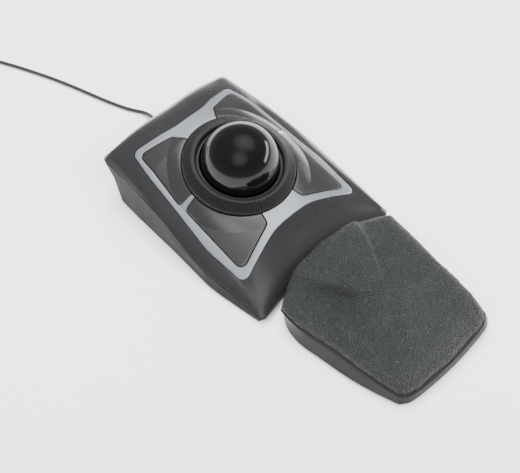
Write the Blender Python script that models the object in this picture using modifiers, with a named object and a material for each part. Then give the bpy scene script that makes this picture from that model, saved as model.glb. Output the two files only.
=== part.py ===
"""Desk trackball with a scroll ring, four buttons, a USB cable and a clip-on wrist rest.

Lengths are written in millimetres and turned into Blender's metres by MM.
The device frame has its origin on the table under the ball's centre, +X to the user's
right, +Y away from the user and +Z up. The deck frame has its origin at the ball's centre
and is tipped by DECK_TILT, so that its z axis is the axis of the scroll ring.
"""
import math

import bmesh
import bpy
from mathutils import Matrix, Vector

MM = 0.001

# Driving dimensions
BALL_RADIUS = 27.5
BALL_HEIGHT = 42.0
BALL_Y = 57.0
DECK_TILT = math.radians(11.5)
GAP = 0.3

# Deck: a tilted plane, crowned across, with a dished band round the scroll ring
DECK_CENTRE_Y = 0.9
DECK_Z = 37.5
DECK_CROWN = 0.0041
DECK_BACK_FALL = 0.2
DECK_BACK_START = 40.0
DISH_INNER = 41.0
DISH_OUTER = 50.5
DISH_SHARE = 0.35
DECK_RADII = (36.0, 40.1, 45.7, DISH_OUTER, 60.0, 84.0)
DECK_SEGMENTS = 48

BEZEL_THICKNESS = 1.5
SHELF_DEPTH = 2.1
SHELF_INNER = 0.94
BUTTON_THICKNESS = 2.4
BUTTON_GAP = 0.7
RING_OPENING = 41.1

# Scroll ring and ball cup, as radius and height in the deck frame
RING_PROFILE = (
    (31.0, 0.0), (31.5, 0.7), (32.6, 1.1), (34.0, 1.0), (40.4, -4.4), (40.4, -7.0),
    (37.6, -7.0), (37.6, -5.0), (33.4, -1.5), (31.0, -1.5),
)
ENCODER_INNER = 34.2
ENCODER_OUTER = 37.3
ENCODER_TOP = -5.6
ENCODER_BOTTOM = -7.6
ENCODER_TEETH = 20
CUP_RADIUS = 29.0
CUP_WALL = 2.5
CUP_LIP = -2.0
CUP_NECK = 30.6
CUP_FLANGE = (-8.6, -10.4)
CUP_SKIRT = (36.8, 38.6)
BEARING_RADIUS = 1.25
BEARING_ANGLE = math.radians(-42)
BEARING_TURNS = (-90, 30, 150)
SENSOR_ANGLE = math.radians(40)
SENSOR_APERTURE = 4.0
LENS_SIZE = (3.6, 3.0)
LENS_REACH = 31.0
CHIP_SIZE = (8.0, 8.0, 2.0)
CHIP_REACH = 34.1
SENSOR_BOARD_SIZE = (16.0, 14.0, 1.4)
SENSOR_BOARD_REACH = 36.2
ENCODER_SENSOR_SIZE = (5.0, 2.6, 5.0)

# Buttons, hinges and switches in the deck frame
HINGE_X = 44.0
HINGE_W = -17.8
HINGE_EAR = (3.0, 8.0, 4.85)
HINGE_EAR_BOTTOM = -19.3
HINGE_LUG = (3.4, 3.0, 3.0)
HINGE_LUG_TOP = -16.3
HINGE_PIN_RADIUS = 0.8
HINGE_BORE = 1.0
BUTTON_POST = (3.0, 4.0, 4.6)
SWITCH_X = 34.0
SWITCH_SIZE = (5.8, 12.8, 6.5)
SWITCH_BOTTOM = -21.7
SWITCH_TOP = SWITCH_BOTTOM + SWITCH_SIZE[2]
SWITCH_POCKET = (2.6, 3.6, 3.6)
PLUNGER_SIZE = (2.0, 3.0, 1.5)
PLUNGER_RISE = 0.5
BUTTON_PLACES = {
    "back_left": (-1, 1), "back_right": (1, 1), "front_left": (-1, -1), "front_right": (1, -1),
}
HINGE_V = {1: 30.0, -1: -26.0}
SWITCH_V = 35.0

# Frame and boards in the deck frame
FRAME_TOP = -18.8
FRAME_THICKNESS = 1.6
FRAME_HOLE = 34.5
FRAME_HALF = ((44.0, 48.0, 4.0), (48.2, 18.0, 20.0), (48.4, -52.0, 4.0))
BOARD_TOP = -22.0
BOARD_THICKNESS = 1.6
BOARD_HOLE = 31.0
BOARD_HALF = ((42.0, 46.0, 4.0), (42.0, -48.0, 4.0))

# Housing
BASE_BOTTOM = 1.5
SHELL = 2.0
BOSS_TOP = 5.0
BOSS_RADIUS = 4.2
FOOT_RADIUS = 6.0
FOOT_HEIGHT = 1.2
DEVICE_FEET = ((54.0, 46.0), (46.0, -70.0))
REST_FEET = ((42.0, -120.0), (40.0, -175.0))
LOFT_STEPS = (8, 16, 8)
SLOT_X = 25.0
SLOT_SIZE = (11.0, 14.0, 1.9)
TAB_SIZE = (10.2, 7.6, 1.3)
TAB_Y = -77.8
SLOT_Z = 4.85

# Screws: x and y in the device frame, the top of the post, and the end of the screw
SCREW_HEAD_RADIUS = 2.6
SCREW_HEAD = (1.6, 2.8)
SCREW_SHAFT_RADIUS = 1.2
POST_RADIUS = 3.0
COVER_POSTS = ((50.0, 58.0, 32.5, 15.0), (58.0, -62.0, 9.6, 7.6))
FRAME_LEGS = ((45.4, 12.0, 23.6, 15.0), (45.4, -40.0, 12.9, 10.4))

# Cable
CABLE_RADIUS = 1.4
CABLE_ROUTE = (
    (0.0, 88.3, 8.4), (0.5, 93.0, 8.1), (2.2, 98.0, 7.1), (4.1, 103.0, 5.3), (5.2, 109.0, 3.0),
    (4.6, 114.0, 1.8), (-0.7, 124.4, 1.5), (-6.0, 138.3, 1.5), (-10.7, 153.6, 1.5),
    (-14.9, 168.6, 1.5), (-19.7, 184.3, 1.5), (-25.0, 199.5, 1.5), (-33.0, 220.0, 1.5),
    (-42.0, 240.5, 1.5), (-51.0, 260.0, 1.5), (-56.6, 274.0, 1.5), (-58.6, 284.0, 1.6),
)
TAIL_ROUTE = ((-93.4, 285.4, 4.0), (-93.0, 279.0, 4.0), (-92.6, 272.3, 4.0))
CABLE_STEP = 5.6
COIL_CENTRE = (-76.5, 301.5)
COIL_RING = 16.8
COIL_TUBE = (5.8, 5.6)
PLUG_BACK = (-92.6, 272.0, 4.0)
PLUG_BODY = (15.0, 28.0, 7.6)
PLUG_SHELL = (12.0, 12.2, 4.5)
PLUG_WALL = 0.4
RELIEF_Z = 8.4
RELIEF_PROFILE = (
    (0.0, 88.0), (2.1, 88.0), (3.5, 71.5), (3.5, 68.6), (2.6, 68.6), (2.6, 60.9), (3.9, 60.9),
    (3.9, 59.5), (0.0, 59.5),
)
RELIEF_HOLE = 2.9

# Half outlines of the flat shapes on the deck: x, y and corner radius
BEZEL_HALF = (
    (12.0, 53.4, 40.0), (46.2, 61.2, 4.5), (50.7, 40.0, 60.0), (53.7, 8.0, 80.0),
    (57.4, -26.0, 60.0), (55.8, -61.6, 5.5), (17.0, -50.4, 60.0),
)
BACK_BUTTON = (
    (13.9, 36.0, 0.0), (15.0, 39.7, 0.0), (20.4, 48.4, 3.0), (44.2, 55.5, 4.0),
    (50.0, 8.4, 2.5), (39.0, 5.6, 0.0), (20.0, 10.0, 0.0),
)
FRONT_BUTTON = (
    (20.0, -4.0, 0.0), (39.0, 1.8, 0.0), (49.6, 2.6, 2.5), (51.0, -54.6, 4.5),
    (17.4, -44.0, 4.0), (14.8, -34.0, 0.0),
)

# Outline of the deck's edge on the housing, with sharp corners: back, side and front
DECK_EDGE = (
    ((0, 53.5), (23, 56), (46.4, 61.4)),
    ((46.4, 61.4), (50.9, 40), (53.8, 8), (57.5, -24), (55.9, -61.9)),
    ((55.9, -61.9), (36, -56.2), (16, -50.3), (0, -48.1)),
)

# Housing outlines: back edge, side and front edge of each level, as x, y and z
SHOULDER = (
    ((0, 65, 43.6), (26, 66.5, 42.4), (50.8, 69, 35.2)),
    ((50.8, 69, 35.2), (56.2, 40, 31.8), (59.2, 8, 24.8), (61.8, -24, 16.8), (58.6, -72, 10.2)),
    ((58.6, -72, 10.2), (32, -63.5, 17.4), (0, -57, 21.8)),
)
ROUNDING = (
    ((0, 76, 38.6), (28, 77, 37.6), (55.6, 76.5, 32.4)),
    ((55.6, 76.5, 32.4), (59.8, 40, 29.0), (62.4, 8, 22.9), (65.2, -24, 14.0), (61.8, -82, 7.6)),
    ((61.8, -82, 7.6), (36, -73.5, 11.6), (0, -67.5, 15.8)),
)
CREASE = (
    ((0, 82, 28.0), (30, 82.2, 27.6), (60.0, 80.5, 26.6)),
    ((60.0, 80.5, 26.6), (61.8, 40, 26.0), (64.2, 8, 21.0), (67.2, -28, 10.8), (63.6, -87.6, 4.4)),
    ((63.6, -87.6, 4.4), (38, -80.5, 6.8), (0, -76, 10.2)),
)
UNDERCUT = (
    ((0, 71, 19.0), (30, 71, 19.0), (61.4, 69.5, 18.6)),
    ((61.4, 69.5, 18.6), (63.2, 38, 17.8), (65.4, 6, 13.6), (68.2, -28, 7.0), (64.4, -87.4, 3.2)),
    ((64.4, -87.4, 3.2), (38, -81, 4.6), (0, -76.6, 6.0)),
)
BASE_EDGE = (
    ((0, 63, 1.5), (30, 63, 1.5), (63.4, 60.5, 1.5)),
    ((63.4, 60.5, 1.5), (65.0, 38, 1.5), (66.4, 4, 1.5), (69.4, -42, 1.5), (64.6, -87.0, 1.5)),
    ((64.6, -87.0, 1.5), (38, -81.2, 1.5), (0, -77, 1.5)),
)

# Wrist rest: outlines of its tray and of its pad's top edge, and heights along its length
TRAY_BOTTOM = (
    ((0, -78.0, 1.5), (30, -81.0, 1.5), (46, -87.5, 1.5)),
    ((46, -87.5, 1.5), (55, -100, 1.5), (58.2, -114, 1.5), (56.7, -132, 1.5), (54.1, -155, 1.5),
     (50.6, -171.5, 1.5), (45.5, -189, 1.5)),
    ((45.5, -189, 1.5), (39, -193.2, 1.5), (20, -195.5, 1.5), (0, -196.3, 1.5)),
)
TRAY_RIM = (
    ((0, -77.4, 11.0), (30, -81.0, 11.5), (54.6, -93.5, 14.6)),
    ((54.6, -93.5, 14.6), (55.6, -104, 13.7), (54.6, -118, 13.0), (51.0, -140, 12.6),
     (48.8, -160, 11.6), (46.9, -175, 9.8), (43.6, -187.0, 7.8)),
    ((43.6, -187.0, 7.8), (37, -191.6, 7.4), (20, -193.8, 7.0), (0, -194.6, 7.0)),
)
TRAY_WALL = 2.2
PAD_TOP = (
    ((0, -77.6, 17.4), (30, -81.2, 17.6), (54.2, -94.0, 18.2)),
    ((54.2, -94.0, 18.2), (54.6, -104, 17.2), (52.8, -118, 16.8), (49.4, -140, 16.7),
     (47.3, -160, 15.3), (45.2, -175, 13.5), (42.0, -185.5, 11.6)),
    ((42.0, -185.5, 11.6), (36, -189.6, 10.9), (20, -191.4, 10.4), (0, -192.2, 10.4)),
)
PAD_HEIGHTS = (
    (-77, 17.6), (-96, 18.4), (-110, 17.4), (-140, 17.0), (-160, 15.9), (-175, 14.2),
    (-186, 12.4), (-196, 10.6),
)
PAD_CENTRE_Y = -135.0
HUMP_HALF = (
    (0, -76.6), (20, -78.0), (35, -81.4), (33, -88), (30, -98), (23, -110), (17, -121),
    (10, -128.5), (0, -131),
)
HUMP_HEIGHTS = ((-76, 23.6), (-100, 23.4), (-120, 21.8), (-131, 19.6))
HUMP_CENTRE_Y = -97.0


def deck_height(x, y):
    """Height of the deck's upper face above the table."""
    radius = math.hypot(x, y - DECK_CENTRE_Y)
    dish = min(max((radius - DISH_INNER) / (DISH_OUTER - DISH_INNER), 0.0), 1.0)
    crown = DECK_CROWN * x * x * (DISH_SHARE + (1.0 - DISH_SHARE) * dish)
    back = DECK_BACK_FALL * max(0.0, y - DECK_BACK_START)
    return DECK_Z + math.tan(DECK_TILT) * y - crown - back


# --- helpers -------------------------------------------------------------------------------

FINISHES = {
    "cover_gloss": ((0.045, 0.047, 0.052), 0.24, 0.55),
    "base_matte": ((0.03, 0.03, 0.031), 0.55, 0.0),
    "bezel_silver": ((0.42, 0.45, 0.49), 0.3, 0.85),
    "button_satin": ((0.05, 0.05, 0.054), 0.34, 0.45),
    "ring_rubber": ((0.012, 0.012, 0.013), 0.5, 0.0),
    "ball_gloss": ((0.006, 0.006, 0.008), 0.04, 0.0),
    "inner_plastic": ((0.02, 0.02, 0.021), 0.5, 0.0),
    "pin_steel": ((0.6, 0.6, 0.6), 0.25, 1.0),
    "bearing_ceramic": ((0.75, 0.75, 0.72), 0.15, 0.0),
    "board_green": ((0.01, 0.12, 0.04), 0.45, 0.0),
    "switch_black": ((0.02, 0.02, 0.02), 0.4, 0.0),
    "plunger_red": ((0.5, 0.03, 0.02), 0.4, 0.0),
    "lens_clear": ((0.8, 0.8, 0.85), 0.05, 0.0),
    "foot_rubber": ((0.03, 0.03, 0.03), 0.8, 0.0),
    "cable_rubber": ((0.02, 0.02, 0.021), 0.5, 0.0),
    "plug_plastic": ((0.025, 0.025, 0.026), 0.45, 0.0),
    "plug_metal": ((0.65, 0.65, 0.66), 0.22, 1.0),
    "rest_leather": ((0.045, 0.048, 0.048), 0.55, 0.0),
    "rest_side": ((0.03, 0.032, 0.032), 0.5, 0.0),
}


def clear_scene():
    for item in list(bpy.data.objects):
        bpy.data.objects.remove(item, do_unlink=True)


def new_collection(name):
    collection = bpy.data.collections.new(name)
    bpy.context.scene.collection.children.link(collection)
    return collection


def new_empty(name, location, parent=None, rotation=(0.0, 0.0, 0.0)):
    empty = bpy.data.objects.new(name, None)
    PARTS.objects.link(empty)
    empty.parent = parent
    empty.location = Vector(location) * MM
    empty.rotation_euler = rotation
    return empty


def finish_material(name):
    material = bpy.data.materials.get(name)
    if material:
        return material
    colour, roughness, metallic = FINISHES[name]
    material = bpy.data.materials.new(name)
    material.use_nodes = True
    shader = material.node_tree.nodes["Principled BSDF"]
    shader.inputs["Base Color"].default_value = (*colour, 1.0)
    shader.inputs["Roughness"].default_value = roughness
    shader.inputs["Metallic"].default_value = metallic
    return material


def wrap_mesh(name, mesh, parent=None, location=(0.0, 0.0, 0.0), rotation=(0.0, 0.0, 0.0)):
    """Make an object of a mesh that is already in metres. It becomes a cutter until finished."""
    item = bpy.data.objects.new(name, mesh)
    CUTTERS.objects.link(item)
    item.hide_render = True
    item.display_type = "WIRE"
    item.parent = parent
    item.location = Vector(location) * MM
    item.rotation_euler = rotation
    return item


def finish(item, finish_name, smooth_angle=40.0):
    """Turn a helper object into a finished sub-part with its own material."""
    CUTTERS.objects.unlink(item)
    PARTS.objects.link(item)
    item.hide_render = False
    item.display_type = "TEXTURED"
    item.data.materials.clear()
    item.data.materials.append(finish_material(finish_name))
    item.data.shade_smooth()
    item.data.set_sharp_from_angle(angle=math.radians(smooth_angle))
    return item


def mesh_from_bmesh(name, bm, outward=False):
    if outward:
        bmesh.ops.recalc_face_normals(bm, faces=bm.faces)
        bmesh.ops.triangulate(bm, faces=bm.faces)
    mesh = bpy.data.meshes.new(name)
    bm.to_mesh(mesh)
    bm.free()
    return mesh


def box(name, size, centre, parent=None, rotation=(0.0, 0.0, 0.0), bevel=0.0):
    bm = bmesh.new()
    bmesh.ops.create_cube(bm, size=1.0)
    bmesh.ops.scale(bm, vec=Vector(size) * MM, verts=bm.verts)
    item = wrap_mesh(name, mesh_from_bmesh(name, bm), parent, centre, rotation)
    if bevel:
        edge = item.modifiers.new("edge", "BEVEL")
        edge.width = bevel * MM
        edge.segments = 2
    return item


def cylinder(name, radius, length, centre, parent=None, rotation=(0.0, 0.0, 0.0), sides=24):
    bm = bmesh.new()
    bmesh.ops.create_cone(bm, cap_ends=True, segments=sides, radius1=radius * MM,
                          radius2=radius * MM, depth=length * MM)
    return wrap_mesh(name, mesh_from_bmesh(name, bm), parent, centre, rotation)


def sphere(name, radius, centre, parent=None, sides=10, rings=6):
    bm = bmesh.new()
    bmesh.ops.create_uvsphere(bm, u_segments=sides, v_segments=rings, radius=radius * MM)
    return wrap_mesh(name, mesh_from_bmesh(name, bm), parent, centre)


def turned(name, profile, steps, parent=None, location=(0, 0, 0), rotation=(0, 0, 0), ring=True):
    """Turn a profile of radius and height points round the object's z axis."""
    bm = bmesh.new()
    verts = [bm.verts.new((radius * MM, 0.0, height * MM)) for radius, height in profile]
    for first, second in zip(verts, verts[1:]):
        bm.edges.new((first, second))
    if ring:
        bm.edges.new((verts[-1], verts[0]))
    item = wrap_mesh(name, mesh_from_bmesh(name, bm), parent, location, rotation)
    screw = item.modifiers.new("turn", "SCREW")
    screw.steps = steps
    screw.render_steps = steps
    screw.use_merge_vertices = True
    screw.merge_threshold = 0.00001
    return item


def bake_modifiers(item):
    """Replace an object's mesh by its evaluated mesh, with doubled points welded."""
    graph = bpy.context.evaluated_depsgraph_get()
    mesh = bpy.data.meshes.new_from_object(item.evaluated_get(graph), depsgraph=graph)
    bm = bmesh.new()
    bm.from_mesh(mesh)
    bmesh.ops.remove_doubles(bm, verts=bm.verts, dist=0.00001)
    bmesh.ops.recalc_face_normals(bm, faces=bm.faces)
    bm.to_mesh(mesh)
    bm.free()
    return mesh


def curve_solid(name, outlines, low, high, parent=None):
    """Fill flat outlines, holes included, and raise them between two heights."""
    curve = bpy.data.curves.new(name, "CURVE")
    curve.dimensions = "2D"
    curve.fill_mode = "BOTH"
    curve.extrude = (high - low) / 2 * MM
    for outline in outlines:
        spline = curve.splines.new("POLY")
        spline.points.add(len(outline) - 1)
        for point, (x, y) in zip(spline.points, outline):
            point.co = (x * MM, y * MM, 0.0, 1.0)
        spline.use_cyclic_u = True
    holder = bpy.data.objects.new(name + "_curve", curve)
    CUTTERS.objects.link(holder)
    mesh = bake_modifiers(holder)
    bpy.data.objects.remove(holder, do_unlink=True)
    return wrap_mesh(name, mesh, parent, (0.0, 0.0, (low + high) / 2))


def add_boolean(item, other, operation):
    change = item.modifiers.new(operation.lower(), "BOOLEAN")
    change.operation = operation
    change.object = other
    change.solver = "EXACT"


def rounded(corners):
    """Points of a closed outline whose corners, given as x, y and radius, are rounded."""
    outline = []
    count = len(corners)
    for index, (x, y, radius) in enumerate(corners):
        here = Vector((x, y))
        before = Vector(corners[index - 1][:2]) - here
        after = Vector(corners[(index + 1) % count][:2]) - here
        if radius <= 0.0:
            outline.append((x, y))
            continue
        angle = before.angle(after)
        reach = min(radius / math.tan(angle / 2), 0.48 * before.length, 0.48 * after.length)
        radius = reach * math.tan(angle / 2)
        middle = here + (before.normalized() + after.normalized()).normalized() * (
            radius / math.sin(angle / 2))
        start = here + before.normalized() * reach - middle
        turn = start.angle_signed(here + after.normalized() * reach - middle)
        steps = max(1, math.ceil(abs(turn) / math.radians(20)))
        for step in range(steps + 1):
            point = middle + Matrix.Rotation(-turn * step / steps, 2) @ start
            outline.append((point.x, point.y))
    return outline


def offset_corners(corners, distance):
    """Move every side of a closed outline outwards, keeping x, y and corner radius."""
    points = [Vector(corner[:2]) for corner in corners]
    count = len(points)
    area = sum(a.x * b.y - b.x * a.y for a, b in zip(points, points[1:] + points[:1]))
    side = math.copysign(1.0, area)
    moved = []
    for index, point in enumerate(points):
        into = (point - points[index - 1]).normalized()
        out = (points[(index + 1) % count] - point).normalized()
        normal_in = Vector((into.y, -into.x)) * side
        normal_out = Vector((out.y, -out.x)) * side
        shift = (normal_in + normal_out) / (1.0 + normal_in.dot(normal_out)) * distance
        turn = (into.x * out.y - into.y * out.x) * side
        radius = corners[index][2]
        if radius > 0.0:
            radius = max(0.2, radius + distance * math.copysign(1.0, turn))
        moved.append((point.x + shift.x, point.y + shift.y, radius))
    return moved


def mirrored(corners):
    return [(-x, y, radius) for x, y, radius in corners]


def bezel_corners():
    return list(BEZEL_HALF) + mirrored(BEZEL_HALF)[::-1]


def button_corners(name):
    side, end = BUTTON_PLACES[name]
    corners = BACK_BUTTON if end > 0 else FRONT_BUTTON
    return list(corners) if side > 0 else mirrored(corners)


def through(points, count):
    """Sample a smooth curve through control points, spaced by their distance."""
    points = [Vector(point) for point in points]
    knots = [0.0]
    for first, second in zip(points, points[1:]):
        knots.append(knots[-1] + (second - first).length)
    slopes = []
    for index, point in enumerate(points):
        low = max(index - 1, 0)
        high = min(index + 1, len(points) - 1)
        slopes.append((points[high] - points[low]) / (knots[high] - knots[low]))
    samples = []
    span = 0
    for step in range(count + 1):
        at = knots[-1] * step / count
        while span < len(points) - 2 and at > knots[span + 1]:
            span += 1
        length = knots[span + 1] - knots[span]
        t = (at - knots[span]) / length
        samples.append(points[span] * (2 * t ** 3 - 3 * t ** 2 + 1)
                       + slopes[span] * length * (t ** 3 - 2 * t ** 2 + t)
                       + points[span + 1] * (3 * t ** 2 - 2 * t ** 3)
                       + slopes[span + 1] * length * (t ** 3 - t ** 2))
    return samples


def full_ring(sections, steps=LOFT_STEPS):
    """Closed ring of points from the back, side and front sections of its right half."""
    half = []
    for section, count in zip(sections, steps):
        half += through(section, count)[:-1]
    half.append(Vector(sections[-1][-1]))
    left = [Vector((-point.x, point.y, point.z)) for point in half[-2:0:-1]]
    return half + left


def deck_edge():
    """Points of the bezel's recess, right half from back to front, in the device frame."""
    outline = rounded(offset_corners(bezel_corners(), GAP))
    return [Vector((x, y, deck_height(x, y))) for x, y in outline if x > 0.0]


def edge_places(steps=240):
    """Section and sample of the sharp deck edge that is nearest to each recess point."""
    sharp = []
    for number, section in enumerate(DECK_EDGE):
        samples = through([(x, y, 0.0) for x, y in section], steps)
        sharp += [(number, index, sample) for index, sample in enumerate(samples)]
    places = []
    for point in deck_edge():
        flat = Vector((point.x, point.y, 0.0))
        number, index, _ = min(sharp, key=lambda entry: (entry[2] - flat).length)
        places.append((number, index))
    return places


def housing_ring(sections, places, steps=240):
    """Closed ring of one housing level, with its points opposite those of the recess."""
    sampled = [through(section, steps) for section in sections]
    return both_sides([sampled[number][index] for number, index in places])


def both_sides(half):
    return half + [Vector((-point.x, point.y, point.z)) for point in reversed(half)]


def at_levels(levels, y):
    """Height at a place along the length, read from a list of y and height."""
    for (y0, z0), (y1, z1) in zip(levels, levels[1:]):
        if y >= y1:
            return z0 + (z1 - z0) * (y - y0) / (y1 - y0)
    return levels[-1][1]


def inset(ring, distance, lift=0.0):
    """Move a closed clockwise ring inwards, level by level, and raise it."""
    moved = []
    for index, point in enumerate(ring):
        along = ring[(index + 1) % len(ring)] - ring[index - 1]
        into = Vector((along.y, -along.x, 0.0)).normalized()
        moved.append(point + into * distance + Vector((0.0, 0.0, lift)))
    return moved


def scaled(ring, factor, centre_y=0.0):
    """Shrink a ring towards a centre on the long axis, with its heights kept."""
    return [Vector((point.x * factor, centre_y + (point.y - centre_y) * factor, point.z))
            for point in ring]


def loft_mesh(name, rings, close_first=False, close_last=False, wrap=False):
    """Join rings of equal length by quads, with the wanted ends closed by one face."""
    bm = bmesh.new()
    rows = [[bm.verts.new(point * MM) for point in ring] for ring in rings]
    pairs = list(zip(rows, rows[1:]))
    if wrap:
        pairs.append((rows[-1], rows[0]))
    for row, following in pairs:
        count = len(row)
        for index in range(count):
            after = (index + 1) % count
            bm.faces.new((row[index], row[after], following[after], following[index]))
    if close_first:
        bm.faces.new(rows[0])
    if close_last:
        bm.faces.new(rows[-1])
    return mesh_from_bmesh(name, bm, outward=True)


def deck_slab(name, down, thickness):
    """Ring-shaped slab that follows the deck, its upper face a given distance below it."""
    bm = bmesh.new()
    rows = []
    levels = [(radius, down) for radius in DECK_RADII]
    levels += [(radius, down + thickness) for radius in reversed(DECK_RADII)]
    for radius, depth in levels:
        row = []
        for step in range(DECK_SEGMENTS):
            angle = math.tau * step / DECK_SEGMENTS
            x = radius * math.sin(angle)
            y = DECK_CENTRE_Y + radius * math.cos(angle)
            row.append(bm.verts.new(Vector((x, y, deck_height(x, y) - depth)) * MM))
        rows.append(row)
    for row, following in zip(rows, rows[1:] + rows[:1]):
        for index in range(DECK_SEGMENTS):
            after = (index + 1) % DECK_SEGMENTS
            bm.faces.new((row[index], row[after], following[after], following[index]))
    return wrap_mesh(name, mesh_from_bmesh(name, bm, outward=True), DEVICE)


def circle(radius, sides=40):
    return [(radius * math.cos(math.tau * step / sides),
             radius * math.sin(math.tau * step / sides)) for step in range(sides)]


# --- housing -------------------------------------------------------------------------------

def parting_cutter(name, offset, far):
    """Block beyond the cover's lower edge: below it or above it, as far as a given height."""
    crease = housing_ring(CREASE, edge_places())
    near = [point + Vector((0.0, 0.0, offset)) for point in crease]
    level = [Vector((point.x, point.y, far)) for point in crease]
    rings = [scaled(near, 1.15), scaled(near, 0.8), scaled(level, 0.8), scaled(level, 1.15)]
    return wrap_mesh(name, loft_mesh(name, rings, wrap=True), DEVICE)


def deck_openings():
    """Cutters for the four button openings and the scroll ring's opening."""
    outlines = [rounded(offset_corners(button_corners(name), BUTTON_GAP))
                for name in BUTTON_PLACES]
    buttons = curve_solid("button_openings", outlines, 0.0, 70.0, DEVICE)
    ring = cylinder("ring_opening", RING_OPENING, 50.0, (0.0, 0.0, 0.0), DECK, sides=72)
    return buttons, ring


def screw_places():
    """Place, post top and screw end of all eight screws, with a name for each."""
    places = {}
    for kind, holders in (("cover", COVER_POSTS), ("frame", FRAME_LEGS)):
        for end, (x, y, top, screw_end) in zip(("back", "front"), holders):
            places[f"{kind}_screw_{end}_right"] = (x, y, top, screw_end)
            places[f"{kind}_screw_{end}_left"] = (-x, y, top, screw_end)
    return places


def join_post(item, name, place):
    """Join a post that stands on a boss of the base, with a blind hole for its screw."""
    x, y, top, screw_end = place
    low = BOSS_TOP + GAP
    post = cylinder(name + "_post", POST_RADIUS, top - low, (x, y, (top + low) / 2), DEVICE,
                    sides=10)
    add_boolean(item, post, "UNION")
    hole_top = screw_end + 0.6
    hole = cylinder(name + "_hole", SCREW_SHAFT_RADIUS + 0.2, hole_top,
                    (x, y, hole_top / 2), DEVICE, sides=8)
    add_boolean(item, hole, "DIFFERENCE")


def make_top_cover(buttons):
    places = edge_places()
    edge = both_sides(deck_edge())
    sunk = [point - Vector((0.0, 0.0, SHELF_DEPTH)) for point in edge]
    inner = [Vector((p.x, p.y, deck_height(p.x, p.y) - SHELF_DEPTH))
             for p in scaled(edge, SHELF_INNER)]
    levels = [housing_ring(level, places) for level in (SHOULDER, ROUNDING, CREASE)]
    cover = wrap_mesh("top_cover", loft_mesh("top_cover", [inner, sunk, edge] + levels), DEVICE)
    shell = cover.modifiers.new("shell", "SOLIDIFY")
    shell.thickness = SHELL * MM
    shell.offset = -1.0
    shell.use_even_offset = True
    add_boolean(cover, buttons, "DIFFERENCE")
    for name, place in screw_places().items():
        if name.startswith("cover"):
            join_post(cover, name, place)
    add_boolean(cover, parting_cutter("cover_parting", 0.15, -10.0), "DIFFERENCE")
    finish(cover, "cover_gloss")


def make_base_housing():
    places = edge_places()
    outer = [housing_ring(level, places) for level in (BASE_EDGE, UNDERCUT, CREASE)]
    inner = [inset(outer[2], SHELL), inset(outer[1], SHELL), inset(outer[0], SHELL, SHELL)]
    base = wrap_mesh("base_housing", loft_mesh("base_housing", outer + inner, True, True), DEVICE)
    for name, (x, y, top, screw_end) in screw_places().items():
        low = BASE_BOTTOM + 1.0
        boss = cylinder(name + "_boss", BOSS_RADIUS, BOSS_TOP - low,
                        (x, y, (BOSS_TOP + low) / 2), DEVICE, sides=12)
        add_boolean(base, boss, "UNION")
        bore = cylinder(name + "_bore", SCREW_SHAFT_RADIUS + 0.4, 8.0, (x, y, 4.0), DEVICE,
                        sides=8)
        add_boolean(base, bore, "DIFFERENCE")
        well_top = SCREW_HEAD[1] + 0.1
        well = cylinder(name + "_well", SCREW_HEAD_RADIUS + 0.4, well_top,
                        (x, y, well_top / 2), DEVICE, sides=12)
        add_boolean(base, well, "DIFFERENCE")
    add_boolean(base, parting_cutter("base_parting", -GAP, 60.0), "DIFFERENCE")
    exit_hole = cylinder("cable_exit", RELIEF_HOLE, 16.0, (0.0, 66.0, RELIEF_Z), DEVICE,
                         (math.radians(90), 0.0, 0.0), sides=20)
    add_boolean(base, exit_hole, "DIFFERENCE")
    for side in (-1, 1):
        slot = box("rest_slot", SLOT_SIZE, (side * SLOT_X, TAB_Y, SLOT_Z), DEVICE)
        add_boolean(base, slot, "DIFFERENCE")
    finish(base, "base_matte")


def make_bezel(buttons, ring):
    plate = deck_slab("bezel_plate", 0.0, BEZEL_THICKNESS)
    outline = curve_solid("bezel_outline", [rounded(bezel_corners())], 0.0, 90.0, DEVICE)
    add_boolean(plate, outline, "INTERSECT")
    add_boolean(plate, buttons, "DIFFERENCE")
    add_boolean(plate, ring, "DIFFERENCE")
    finish(plate, "bezel_silver")


def make_screws_and_feet():
    for name, (x, y, top, screw_end) in screw_places().items():
        head = SCREW_HEAD[1] - SCREW_HEAD[0]
        profile = [(0.0, screw_end - SCREW_HEAD[0]), (SCREW_SHAFT_RADIUS, screw_end - SCREW_HEAD[0]),
                   (SCREW_SHAFT_RADIUS, head), (SCREW_HEAD_RADIUS, head),
                   (SCREW_HEAD_RADIUS, 0.0), (0.0, 0.0)]
        screw = turned(name, profile, 10, DEVICE, (x, y, SCREW_HEAD[0]), ring=False)
        finish(screw, "pin_steel")
    for kind, places in (("device", DEVICE_FEET), ("rest", REST_FEET)):
        for end, (x, y) in zip(("back", "front"), places):
            for side, sign in (("left", -1), ("right", 1)):
                foot = cylinder(f"{kind}_foot_{end}_{side}", FOOT_RADIUS, FOOT_HEIGHT,
                                (sign * x, y, FOOT_HEIGHT / 2), DEVICE, sides=18)
                finish(foot, "foot_rubber")


# --- buttons and their switches ------------------------------------------------------------

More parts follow.
